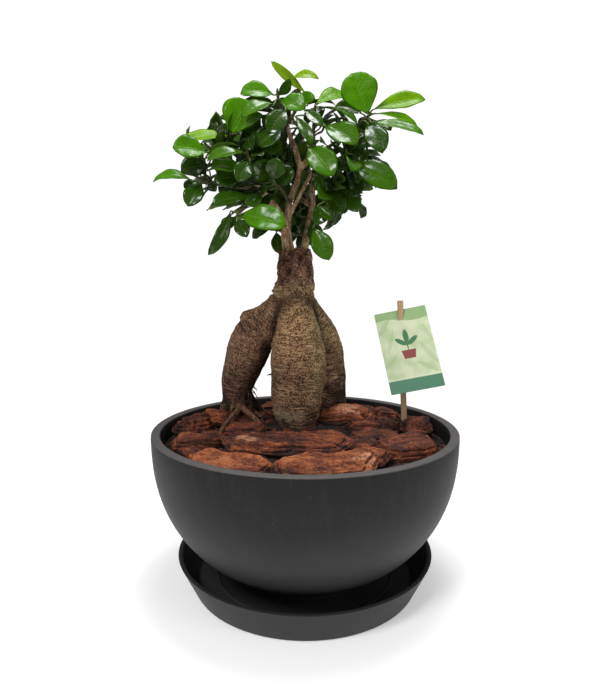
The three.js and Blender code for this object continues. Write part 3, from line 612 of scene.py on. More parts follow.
@finish
def pale_floor(net):
    """A white table that runs out softly into the white room."""
    where = net.where()
    away = net.get("ShaderNodeVectorMath", {0: where}, "Value", operation="LENGTH")
    return {
        "Base Color": net.coats((0.93, 0.93, 0.93), (net.cloud(300, 2), (0.95, 0.95, 0.95))),
        "Roughness": 0.9,
        "Emission Color": (1, 1, 1, 1),
        "Emission Strength": 0.3,
        "Alpha": away.step(FLOOR_R * MM, FLOOR_R * 0.45 * MM),
    }


# Camera, floor and light
def add_camera():
    lens = bpy.data.cameras.new("camera")
    lens.lens = LENS
    lens.sensor_width = 36
    lens.clip_start = 0.01
    camera = show("camera", lens)
    camera.location = CAMERA_AT
    camera.rotation_euler = (math.radians(CAMERA_TILT), 0, 0)
    bpy.context.scene.camera = camera


def add_light(name, at, aim_z, size, power):
    lamp = bpy.data.lights.new(name, "AREA")
    lamp.size = size
    lamp.energy = power
    made = show(name, lamp)
    made.location = at
    made.rotation_euler = (Vector((0, 0, aim_z)) - Vector(at)).to_track_quat("-Z", "Y").to_euler()


def add_studio():
    scene = bpy.context.scene
    scene.view_settings.view_transform = "Standard"
    world = bpy.data.worlds.new("studio")
    world.use_nodes = True
    scene.world = world
    world.node_tree.nodes.clear()
    net = Net(world.node_tree)
    seen, gloss = (net.get("ShaderNodeLightPath", {}, f"Is {ray} Ray") for ray in ("Camera", "Glossy"))
    power = seen * 0.7 + 0.36 - gloss * 0.16
    glow = net.get("ShaderNodeBackground", {"Color": (1, 1, 1, 1), "Strength": power})
    net.get("ShaderNodeOutputWorld", {"Surface": glow})
    for name, light in LIGHTS.items():
        add_light(name, *light)
    corners = [(x, y, -0.3) for x, y in np.array([(-1, -1), (1, -1), (1, 1), (-1, 1)]) * (FLOOR_R + 20)]
    floor = place("floor", corners, [(0, 1, 2, 3)], pale_floor)


add_camera()
add_studio()


# Saucer and pot: profiles turned about the upright axis
def rounded(profile, radius):
    """The profile with its inner corners rounded to a radius, or less where they are close."""
    profile = [np.array(p, float) for p in profile]
    path = [profile[0]]
    for before, here, after in zip(profile, profile[1:], profile[2:]):
        a, b = before - here, after - here
        reach = min(radius, np.linalg.norm(a) * 0.45, np.linalg.norm(b) * 0.45)
        start, end = here + unit(a) * reach, here + unit(b) * reach
        for t in (0, 0.25, 0.5, 0.75, 1):
            path.append((1 - t) ** 2 * start + 2 * t * (1 - t) * here + t * t * end)
    path.append(profile[-1])
    return path


def turned(name, profile):
    """Turns a profile of (radius, height). Its ends lie on the axis or meet each other."""
    closed = np.allclose(profile[0], profile[-1])
    points, rows = [], []
    for r, z in profile[:-1] if closed else profile:
        angles = round_angles(TURNED_SIDES)[:1 if r < 1e-6 else TURNED_SIDES]
        rows.append([len(points) + k % len(angles) for k in range(TURNED_SIDES)])
        points += [(r * math.cos(a), r * math.sin(a), z) for a in angles]
    if closed:
        rows.append(rows[0])
    faces = []
    for low, high in zip(rows, rows[1:]):
        for k in range(TURNED_SIDES):
            after = (k + 1) % TURNED_SIDES
            faces.append(tuple(dict.fromkeys((low[k], low[after], high[after], high[k]))))
    return place(name, points, faces, pot_plastic)


def bowl_r(z):
    return RIM_R * (1 - ((RIM_Z - z) / (RIM_Z + 4)) ** 2.5) ** (1 / 1.72)


def cavity_r(z):
    return bowl_r(z) - WALL * (1 + 0.35 * (1 - (z - POT_FLOOR_Z) / RIM_Z))


def ground_z(x, y):
    return SOIL_EDGE_Z + SOIL_MOUND * (1 - (x * x + y * y) / MOUND_R ** 2)


def make_saucer():
    inner, rib = SAUCER_BASE_R - SAUCER_WALL, SAUCER_RIB_R
    profile = rounded([
        (0, 0), (SAUCER_BASE_R - 0.4, 0), (SAUCER_RIM_R - 0.2, SAUCER_H - 0.2),
        (SAUCER_RIM_R - 1.2, SAUCER_H), (SAUCER_RIM_R - SAUCER_WALL + 0.6, SAUCER_H),
        (inner - 0.5, SAUCER_FLOOR), (rib + 1.4, SAUCER_FLOOR), (rib, SAUCER_FLOOR + 1.7),
        (rib - 1.4, SAUCER_FLOOR), (0, SAUCER_FLOOR),
    ], 1.6)
    hand_over(turned("saucer_dish", profile), "pot_plastic", "saucer")


def make_pot():
    outer = [(bowl_r(z), z) for z in np.linspace(FOOT_TOP_Z + 1.5, RIM_Z - LIP, 40)]
    inner = [(cavity_r(z), z) for z in np.linspace(RIM_Z - 7, POT_FLOOR_Z + 3.5, 30)]
    hole_top = (DRAIN_R, POT_FOOT_Z + 3)
    foot = rounded([hole_top, (FOOT_R - 7.6, POT_FOOT_Z + 3), (FOOT_R - 7.2, POT_FOOT_Z),
                    (FOOT_R, POT_FOOT_Z), (FOOT_R, FOOT_TOP_Z - 1), outer[0]], 0.8)
    lip = rounded([outer[-1], (RIM_R, RIM_Z), (RIM_R - WALL + 0.6, RIM_Z), inner[0]], 1.5)
    well = [(inner[-1][0] - 4, POT_FLOOR_Z + 1), (inner[-1][0] - 10, POT_FLOOR_Z),
            (DRAIN_R + 0.8, POT_FLOOR_Z), (DRAIN_R, POT_FLOOR_Z - 0.8), hole_top]
    profile = [*foot[:-1], *outer, *lip[1:-1], *inner, *well]
    hand_over(turned("bowl_planter", profile), "pot_plastic", "pot")


make_saucer()
make_pot()

# The bark chips: (x, y, length, width, thickness, yaw, front tilt, side tilt, lift, tone)
CHIPS = [
    (-67, -96, 76, 25, 12, -18, 20, 2, 3, 0.84),
    (20, -105, 88, 33, 13, 2, 24, -2, 2, 0.74),
    (-111, 14, 68, 36, 20, 74, 0, 6, 5, 0.46),
    (-97, -44, 56, 28, 15, 28, 10, 0, 4, 0.45),
    (-66, 14, 38, 26, 12, 40, 15, 0, 3, 0.5),
    (42, 28, 60, 38, 18, -8, 20, 0, 5, 0.7),
    (88, 50, 28, 22, 15, 20, 0, 5, 5, 0.4),
    (68, -28, 52, 26, 8, 6, 10, 0, 2, 0.46),
    (90, -62, 60, 33, 17, 26, 14, 0, 4, 0.42),
    (54, -86, 32, 24, 14, -24, 14, 0, 4, 0.5),
    (115, 6, 46, 32, 17, 75, 0, 4, 6, 0.28),
    (64, 96, 40, 28, 12, -35, 0, 0, 2, 0.3),
    (92, 80, 38, 26, 12, -50, 0, 4, 2, 0.35),
    (111, 50, 36, 24, 12, 110, 0, 0, 2, 0.3),
    (-107, 62, 44, 28, 12, 58, 0, 5, 2, 0.35),
    (-74, 95, 48, 28, 12, 37, 0, 0, 2, 0.3),
    (-28, 118, 52, 24, 12, 13, 0, 3, 1, 0.45),
    (24, 118, 50, 26, 12, -11, 0, 0, 1, 0.4),
    (-98, -70, 44, 24, 12, -54, 6, 0, 1, 0.4),
    (48, -56, 42, 28, 10, -20, 8, 0, 1, 0.35),
    (110, -46, 34, 24, 10, 70, 0, 0, 1, 0.4),
    (62, 2, 38, 24, 11, 15, 8, 0, 2, 0.3),
    (86, 16, 28, 20, 11, -30, 0, 5, 3, 0.4),
    (-36, 50, 32, 22, 10, 30, 0, 0, 2, 0.3),
    (64, 62, 34, 24, 11, -30, 0, 0, 2, 0.35),
    (-58, 84, 30, 22, 10, 20, 0, 0, 2, 0.5),
    (14, 92, 30, 20, 10, 0, 0, 0, 2, 0.4),
    (-114, -14, 32, 24, 11, 80, 0, 0, 1, 0.4),
    (-24, -128, 34, 14, 9, -4, 10, 0, 1, 0.6),
    (-62, -14, 46, 26, 10, 10, 8, 0, 4, 0.35),
    (-15, -63, 118, 42, 12, 0, 7, 1, 4, 0.48),
    (-92, 26, 30, 24, 14, 0, 0, 8, 9, 0.7),
]
TORN = {2: (30, 2, 9), 6: (4, 0, 13), 31: (-36, -4, 9)}  # chips with a pale torn patch
CHIP_SIDES = 7
CHIP_GRAIN = 1.2  # how far apart the points of a chip are
LAYER = 3.2  # how thick a layer of bark is
WAIST = -0.12  # the height of a chip's widest ring, in shares of its thickness
COVER = 0.9  # the share of a chip's length and breadth over which it hides the ground


def chip_outline(row, seed, inset, level, j):
    """A chip's corners at one level, in its own frame."""
    corners = []
    for k in range(CHIP_SIDES):
        a = 2 * math.pi * (k + 0.3 * chance(seed * 23 + k)) / CHIP_SIDES
        reach = 0.92 + 0.24 * chance(seed * 7 + k * 3) + 0.06 * chance(seed + k + j * 40)
        c, s = (math.copysign(abs(v) ** 0.7, v) for v in (math.cos(a), math.sin(a)))
        bump = 0 if j < 2 else 0.22 * (chance(seed * 3 + k * 5 + j) - 0.5)
        corners.append((c * row[2] / 2 * reach * inset, s * row[3] / 2 * reach * inset,
                        row[4] * (level + bump)))
    return np.array(corners)


def loop_through(corners, count):
    """Points along a closed loop that keeps near its corners."""
    size = len(corners)
    made = []
    for i in range(count):
        t = i * size / count
        k, u = int(t), t - int(t)
        near = [corners[(k + d) % size] for d in (-1, 0, 1, 2)]
        made.append(mix(near[1] + (near[2] - near[1]) * u, curve(*near, u), 0.5))
    return np.array(made)


def wobble(angles, waves, seed):
    """A smooth run of numbers round a ring, from about -1 to 1."""
    total = np.zeros(len(angles))
    for n in range(1, waves + 1):
        total += chance(seed + n * 7) / n ** 0.5 * np.sin(n * angles + 6.28 * chance(seed + n))
    return total / 1.2


def chip_rings(row, seed):
    """Rings round a chip from its middle below to its middle above. It is a weathered pile of thin
    layers that step back unevenly, in millimetres, towards the top. Each ring also says where light and
    shade are painted: -1 for a layer's set-back foot, painted in shade, and 1 for its raised top rim,
    painted as a highlight."""
    long, wide, thick = row[2:5]
    around = int(2.6 * (long + wide) / 2 / CHIP_GRAIN)
    angles = round_angles(around)
    low, middle, high = (loop_through(chip_outline(row, seed, inset, level, j), around)
                         for j, (inset, level) in enumerate(((0.8, -0.5), (1, WAIST), (0.86, 0.5))))
    reach = np.hypot(middle[:, 0], middle[:, 1])
    edge = 1.3 * wobble(angles, 8, seed * 5) + 0.7 * wobble(angles, 25, seed * 9)

    def ring(level, back):
        if level < WAIST:
            loop = mix(low, middle, (level + 0.5) / (WAIST + 0.5))
        else:
            loop = mix(middle, high, (level - WAIST) / (0.5 - WAIST))
        share = np.clip(1 - (back - edge) / reach, 0.12, 1.06)
        centre = loop.mean(0) * (1, 1, 0)
        return centre + (loop - centre) * np.c_[share, share, np.ones(around)]

    layers = max(4, round(thick / LAYER))
    widest = max(1, round(layers * 0.36))
    narrow = wide / 34
    backs = [np.zeros(around) for _ in range(layers)]
    for i in range(widest + 1, layers):
        step = np.clip(wobble(angles, 6, seed * 31 + i * 17) - 0.05, 0, 1.2)
        backs[i] = backs[i - 1] + narrow * (0.6 + 0.35 * (i - widest) + 3.4 * step)
    for i in range(widest - 1, -1, -1):
        step = saturate(wobble(angles, 5, seed * 37 + i * 13))
        backs[i] = backs[i + 1] + narrow * (0.6 + 1.6 * step)
    rings, ledge_light_shade = [], []
    for i in range(layers):
        foot, top = i / layers - 0.5, (i + 1) / layers - 0.5
        torn = 0.35 * wobble(angles, 30, seed * 11 + i)
        # Painted light: each layer's foot ring is marked -1 for painted shade and its top rim 1 for a
        # painted highlight.
        for share, back, ledge_value in ((0.04, 0.5, -1), (0.3, 0, 0), (0.7, 0.1, 0.6), (0.96, 0.5, 1)):
            rings.append(ring(mix(foot, top, share), backs[i] + torn + back))
            ledge_light_shade.append(ledge_value)
        if i < layers - 1:
            rings.append(ring(top, (backs[i] + backs[i + 1]) / 2 + torn + 0.4))
            ledge_light_shade.append(0)
    spokes = max(8, int(wide / 2 / CHIP_GRAIN))
    below, above = [], []
    for i in range(1, spokes):
        below.append(mix(rings[0].mean(0), rings[0], i / spokes))
        dome = UP * (thick * 0.16 * (1 - (1 - i / spokes) ** 2))
        above.append(mix(rings[-1].mean(0), rings[-1], 1 - i / spokes) + dome)
    ledge_light_shade = [0] * len(below) + ledge_light_shade + [0] * len(above)
    return np.array([*below, *rings, *above]), np.repeat(ledge_light_shade, around)


def make_chip(row, seed):
    x, y, long, _, thick, yaw, front, side, lift, tone = row
    rings, ledge_light_shade = chip_rings(row, seed)
    points, faces = skin(rings)
    ledge_light_shade = np.array([*ledge_light_shade, 0, 0], float)
    chip = place(f"pine_bark_{seed:02d}", points, faces, pine_bark)
    normals = normals_of(chip)
    flat = ease(np.abs(normals[:, 2]), 0.4, 0.9)
    fibre = fractal(points * (0.2, 1, 0.8), 4, 3, seed + 7)
    plate = fractal(points * (0.6, 1.2, 0.3), 14, 2, seed + 90)
    grain = fractal(points, 2, 2, seed + 3)
    bent = points * (0.2, 1, 0.5) + 1.5 * fractal(points, 16, 2, seed + 21)[:, None] * UP[::-1]
    groove = bell(fractal(bent, 7, 2, seed + 41), 0.05)
    relief = (0.4 + 0.6 * flat) * (0.7 * fibre - 0.6 * groove) + 2.4 * flat * plate + 0.6 * grain
    placed = points + normals * relief[:, None]
    placed[:, 2] += thick * 0.3 * (chance(seed * 19) - 0.4) * ((2 * points[:, 0] / long) ** 2 - 0.3)
    turn = Euler([math.radians(a) for a in (front, side, yaw)], "XYZ").to_matrix()
    placed = placed @ np.array(turn).T + (x, y, ground_z(x, y) + lift)
    move_points(chip, placed)
    chip.data.set_sharp_from_angle(angle=math.radians(42))
    # Painted shade: darker within a few millimetres of the ground and on the lower part of each chip.
    above = placed[:, 2] - ground_z(placed[:, 0], placed[:, 1]) + 1.5 * fractal(placed, 6, 2, seed)
    bare = ease(fractal(points, 11, 2, seed + 60), -0.25, 0.25)
    under = 0.75 * ease(points[:, 2] / thick + 0.25 * fibre, 0.12, -0.3)
    mark(chip, tone=np.full(len(points), tone), grain=points * (0.14, 1, 1) * MM,
         # Painted highlight: lighter on the top rims of the layers and on the raised fibres and plates
         # of the relief.
         rise=np.clip(0.5 * np.maximum(ledge_light_shade, 0) * bare + 1.1 * fibre + 0.6 * plate, -1, 1),
         # Painted shade: the grooves and the set-back foot of each layer.
         hollow=saturate(0.55 * groove - ledge_light_shade * bare),
         buried=np.maximum(ease(above, 5.5, 1.0), under))
    if seed in TORN:
        torn_x, torn_y, reach = TORN[seed]
        away = np.hypot(points[:, 0] - torn_x, (points[:, 1] - torn_y) * 1.6) / reach
        mark(chip, torn=ease(away + 0.9 * fibre + 0.6 * grain, 1.1, 0.5) * flat)
    hand_over(chip, "pine_bark", f"bark_chip_{seed:02d}")


for number, row in enumerate(CHIPS):
    make_chip(row, number + 1)


# The soil, and the crumbs, slivers and perlite that lie on it
def make_soil():
    around = 220
    angles = round_angles(around)
    rings = []
    for z in np.linspace(POT_FLOOR_Z + 0.4, SOIL_EDGE_Z - 1, 14):
        r = (cavity_r(z) if z > POT_FLOOR_Z + 4 else cavity_r(POT_FLOOR_Z + 4) - 8) - SOIL_GAP
        rings.append(np.c_[r * np.cos(angles), r * np.sin(angles), np.full(around, z)])
    for r in np.linspace(0, 1, 62)[:0:-1] * (cavity_r(SOIL_EDGE_Z) - SOIL_GAP):
        x, y = r * np.cos(angles), r * np.sin(angles)
        rings.append(np.c_[x, y, ground_z(x, y)])
    points, faces = skin(np.array(rings))
    lumps = 1.5 * fractal(points, 9, 3, 3) + 0.7 * fractal(points, 2.8, 2, 5)
    points[:, 2] += np.where(points[:, 2] > SOIL_EDGE_Z - 0.5, lumps - 1.2, 0)
    hand_over(place("potting_soil", points, faces, potting_soil), "potting_soil", "soil")


def covered(points):
    """Which points of the ground lie under a chip."""
    hidden = np.zeros(len(points), bool)
    for x, y, long, wide, _, yaw, *_ in CHIPS:
        cos, sin = math.cos(math.radians(yaw)), math.sin(math.radians(yaw))
        dx, dy = points[:, 0] - x, points[:, 1] - y
        u = (dx * cos + dy * sin) / (long / 2 * COVER)
        v = (dy * cos - dx * sin) / (wide / 2 * COVER)
        hidden |= np.abs(u) ** 3 + np.abs(v) ** 3 < 1
    return hidden


def make_ground(name):
    """A sheet over the soil that only says where small pieces may lie."""
    rows, around = 60, 150
    points = np.array([(r * math.cos(a), r * math.sin(a), 0)
                       for r in np.linspace(0, 136, rows) for a in round_angles(around)])
    points[:, 2] = ground_z(points[:, 0], points[:, 1]) - 1
    ground = place(name, points, sleeve(rows, around))
    mark(ground, bare=np.where(covered(points), 0.0, 1.0))
    return ground


def lump(sizes, seed, detail):
    """A small rough lump of which copies are strewn."""
    mesh = bpy.data.meshes.new("lump")
    ball = bmesh.new()
    bmesh.ops.create_icosphere(ball, subdivisions=detail, radius=1.0)
    for vertex in ball.verts:
        swell = 1 + 0.35 * noise.fractal(vertex.co * 1.3 + Vector((seed, 0, 0)), 1.0, 2.0, 3)
        box = [math.copysign(abs(c) ** 0.7, c) for c in vertex.co]
        vertex.co = Vector([b * s / 2 * swell * MM for b, s in zip(box, sizes)])
    ball.to_mesh(mesh)
    ball.free()
    return bpy.data.objects.new("lump", mesh)


def new_group(name, inputs):
    """A new geometry node group's net, and its inputs by name. They are given by kind."""
    tree = bpy.data.node_groups.new(name, "GeometryNodeTree")
    for kind, labels in inputs.items():
        for label in labels:
            tree.interface.new_socket(label, in_out="INPUT", socket_type=f"NodeSocket{kind}")
    tree.interface.new_socket("Geometry", in_out="OUTPUT", socket_type="NodeSocketGeometry")
    net = Net(tree)
    entry = tree.nodes.new("NodeGroupInput")
    return net, {s.name: Term(net, s) for s in entry.outputs if s.name}


def scatter_tree():
    """Strews copies of a lump over a sheet, at least a spacing apart."""
    net, given = new_group("scatter", {
        "Geometry": ["Geometry"], "Object": ["Lump"], "Int": ["Seed"], "Material": ["Finish"],
        "Float": ["Spacing", "Crowding", "Smallest", "Largest", "Tilt", "Sink"],
    })

    def random(kind, low, high, step):
        at, out = (0, 0) if kind == "FLOAT_VECTOR" else (2, 1)
        values = {at: low, at + 1: high, "Seed": given["Seed"] + step}
        return net.get("FunctionNodeRandomValue", values, out, data_type=kind)

    bare = net.get("GeometryNodeInputNamedAttribute", {"Name": "bare"}, data_type="FLOAT")
    spots = net.get("GeometryNodeDistributePointsOnFaces", {
        "Mesh": given["Geometry"], "Distance Min": given["Spacing"],
        "Density Max": given["Crowding"], "Density Factor": bare, "Seed": given["Seed"],
    }, distribute_method="POISSON")
    lift = net.get("ShaderNodeCombineXYZ", {"Z": given["Sink"] * -1})
    spots = net.get("GeometryNodeSetPosition", {"Geometry": spots, "Offset": lift})
    tilt = given["Tilt"]
    low = net.get("ShaderNodeCombineXYZ", {0: tilt * -1, 1: tilt * -1, 2: 0.0})
    high = net.get("ShaderNodeCombineXYZ", {0: tilt, 1: tilt, 2: 6.283})
    shape = net.get("GeometryNodeObjectInfo", {"Object": given["Lump"]}, "Geometry")
    copies = net.get("GeometryNodeInstanceOnPoints", {
        "Points": spots, "Instance": shape,
        "Rotation": random("FLOAT_VECTOR", low, high, 2),
        "Scale": random("FLOAT", given["Smallest"], given["Largest"], 1),
    })
    tone = random("FLOAT", 0.05, 0.45, 3)
    values = {"Geometry": copies, "Name": "tone", "Value": tone}
    copies = net.get("GeometryNodeStoreNamedAttribute", values, data_type="FLOAT", domain="INSTANCE")
    whole = net.get("GeometryNodeRealizeInstances", {"Geometry": copies})
    whole = net.get("GeometryNodeSetMaterial", {"Geometry": whole, "Material": given["Finish"]})
    net.get("NodeGroupOutput", {0: whole})
    return net.tree


def strew(tree, name, shape, material, slot, **sizes):
    piece = make_ground(name)
    change(piece, "NODES", {"Lump": shape, "Finish": material, **sizes}, node_group=tree)
    bpy.data.objects.remove(shape)
    hand_over(piece, slot)


make_soil()
scatter = scatter_tree()
strew(scatter, "bark_slivers", lump((15, 7, 4.2), 5.0, 2), pine_bark, "pine_bark",
      Spacing=10 * MM, Crowding=6000.0, Smallest=0.4, Largest=1.2, Tilt=0.35, Sink=0.0, Seed=3)
strew(scatter, "soil_crumbs", lump((2.4, 2.0, 1.6), 1.0, 1), potting_soil, "potting_soil",
      Spacing=3.2 * MM, Crowding=60000.0, Smallest=0.5, Largest=1.5, Tilt=3.0, Sink=0.0, Seed=5)
strew(scatter, "perlite_grains", lump((2.2, 2.0, 1.8), 9.0, 2), perlite, "potting_soil",
      Spacing=18 * MM, Crowding=1200.0, Smallest=0.5, Largest=1.3, Tilt=3.0, Sink=-1.2 * MM, Seed=8)

# The wood: swollen roots with the cut neck, and the branches, along points (x, y, z, radius).
# Each root also has its swell, and the five thick ones come first.
ROOTS = [
    (0.02, [(-10, 27, 331, 17), (-10, 27, 313, 18.6), (-9, 27, 299, 18.6), (-10, 27, 286, 19.4),
            (-10, 27, 270, 18)]),
    (0.025, [(-9, 24, 292, 13), (-8, 18, 265, 18.8), (-7, 14, 246, 23.6), (-6, 12, 226, 27.3),
             (-7, 11, 206, 27), (-8, 11, 188, 25.8), (-8, 12, 171, 24), (-7, 14, 150, 18)]),
    (0.03, [(-13, 28, 290, 10), (-21, 30, 279, 12), (-36, 33, 264, 16), (-50, 37, 248, 20.5),
            (-58, 42, 231, 23.4), (-67, 46, 208, 21.3), (-73, 48, 189, 17.7),
            (-74, 50, 170, 15.5), (-74, 52, 148, 13)]),
    (0.03, [(-5, 32, 290, 9), (0, 34, 278, 11), (9, 38, 262, 14), (17, 44, 246, 17.6),
            (22, 50, 228, 19.8), (25, 54, 206, 20), (26, 56, 178, 20), (28, 57, 150, 18)]),
    (0.03, [(-12, 34, 290, 10), (-13, 44, 270, 15), (-13, 58, 248, 18), (-12, 68, 226, 19),
            (-11, 74, 202, 19), (-11, 77, 178, 17), (-12, 78, 150, 14)]),
    (0, [(-66, 46, 178, 8), (-61, 39, 164, 6), (-56, 33, 150, 4.4)]),
    (0, [(-80, 47, 178, 8), (-86, 41, 164, 6), (-90, 36, 149, 4.4)]),
    (0, [(34, 50, 178, 9), (36, 44, 164, 6.6), (38, 41, 150, 4.6)]),
]
BRANCHES = {
    "stem": [(-14, 27, 319, 7), (-17, 26, 335, 6), (-19, 24, 346, 5.1), (-18, 20, 358, 4.5)],
    "left": [(-18, 21, 354, 4), (-26, 12, 368, 3.5), (-36, 5, 379, 3.2), (-42, 2, 387, 3.1),
             (-46, 0, 392, 3)],
    "mid": [(-18, 21, 354, 4), (-15, 20, 379, 3.2), (-8, 20, 397, 2.9), (-4, 20, 413, 2.9)],
    "top": [(-4, 20, 410, 2.9), (-10, 17, 429, 2.5), (-16, 15, 443, 2.2), (-17, 14, 451, 2)],
    "right": [(-5, 20, 409, 3), (3, 18, 418, 2.7), (10, 14, 422, 2.4), (13, 13, 424, 2.2)],
    "slender": [(-15, 20, 366, 2.4), (-6, 12, 381, 1.9), (2, 9, 396, 1.7), (7, 10, 403, 1.5)],
    "second": [(-2, 34, 322, 5), (1, 38, 342, 3.9), (5, 46, 362, 3.6), (8, 56, 381, 3.4),
               (8, 62, 401, 3)],
    "backLeft": [(7, 56, 380, 3.2), (-8, 66, 390, 2.8), (-26, 70, 400, 2.5),
                 (-38, 70, 410, 2.2)],
    "backRight": [(8, 62, 398, 3), (16, 66, 408, 2.6), (28, 66, 416, 2.3), (36, 66, 424, 2)],
    "backTop": [(8, 61, 398, 2.8), (4, 58, 418, 2.4), (0, 54, 436, 2.1), (-2, 50, 446, 1.9)],
}
# Two roots of the left leg that lie over the mulch
CREEPERS = [
    [(-70, 42, 172, 4.6), (-69, 30, 168, 3.8), (-71, 12, 165.5, 3), (-77, -14, 162, 2.4),
     (-84, -36, 153, 1.2)],
    [(-69, 40, 171, 4.4), (-65, 27, 167, 3.4), (-56, 12, 164, 2.8), (-46, -1, 159, 2.2),
     (-38, -10, 151, 1.2)],
]
THICK_ROOTS = 5
LEFT_LEG, MIDDLE_BULB, RIGHT_LEG = (2, 5, 6), 1, (3, 7)  # which rows of ROOTS they are
LEFT_FOOT, RIGHT_FOOT = (-73.5, 49.5, 0), (27, 56, 0)
SCAR_AT = (-61, 27, 263)
KNOTS = [((-16, 9, 309), 5.4), ((-4, 10, 322), 4.4), ((-22, 14, 300), 3.2)]


def along_roots(points):
    """For each point: how far along its root it is, which root that is, and how near the next
    root comes."""
    best, second = np.full(len(points), 1e9), np.full(len(points), 1e9)
    run, owner = np.zeros(len(points)), np.zeros(len(points), int)
    for number, (_, path) in enumerate(ROOTS):
        line = np.array([line_at(path, t) for t in np.linspace(0, 1, 40)])
        steps = np.linalg.norm(np.diff(line[:, :3], axis=0), axis=1)
        gap, reached = np.full(len(points), 1e9), np.zeros(len(points))
        for here, after, start in zip(line, line[1:], [0, *np.cumsum(steps)]):
            away = points - here[:3]
            off = np.linalg.norm(away, axis=1) - here[3]
            near = off < gap
            gap[near] = off[near]
            reached[near] = (start + away @ unit(after[:3] - here[:3]))[near]
        first = gap < best
        second = np.where(first, best, np.minimum(second, gap))
        run = np.where(first, reached + number * 31, run)
        owner = np.where(first, number, owner)
        best = np.where(first, gap, best)
    return run, owner, second - best


def foot_roots(centre, radius, angles, seed):
    """Roots of a finger's breadth and less that leave a leg's foot and go into the mulch."""
    skins = []
    for k, degrees in enumerate(angles):
        turn, sway, more_high, more_far, more_thick = (chance(seed + k * 5 + i) for i in range(5))
        a = math.radians(degrees + 14 * (turn - 0.5))
        out = np.array([math.cos(a), math.sin(a), 0])
        bend = np.array([-math.sin(a), math.cos(a), 0]) * 7 * (sway - 0.5)
        high, far = 170 + 16 * more_high, radius + 9 + 13 * more_far
        thick = 1.9 + 2.3 * more_thick
        start = centre + out * radius * 0.8 + UP * high
        knee = centre + out * (radius + 2.5) + bend * 0.4 + UP * (high - 9)
        low = centre + out * mix(radius, far, 0.6) + bend + UP * 158
        end = centre + out * far + bend * 1.6
        end[2] = ground_z(*end[:2]) - 3
        path = [(*start, thick * 1.3), (*knee, thick), (*low, thick * 0.8), (*end, thick * 0.55)]
        skins.append(tube(path, 9, 18))
    return skins


def trunk_skins():
    skins = [tube(path, 40 if path[0][3] > 9 else 16, (len(path) - 1) * 6, swell)
             for swell, path in ROOTS]
    skins += foot_roots(LEFT_FOOT, 14.5, (-100, -72, -56, -40, -24, -8, 12), 610)
    skins += foot_roots(RIGHT_FOOT, 17, (-60, -20), 710)
    return skins + [tube(path, 12, 30) for path in CREEPERS]


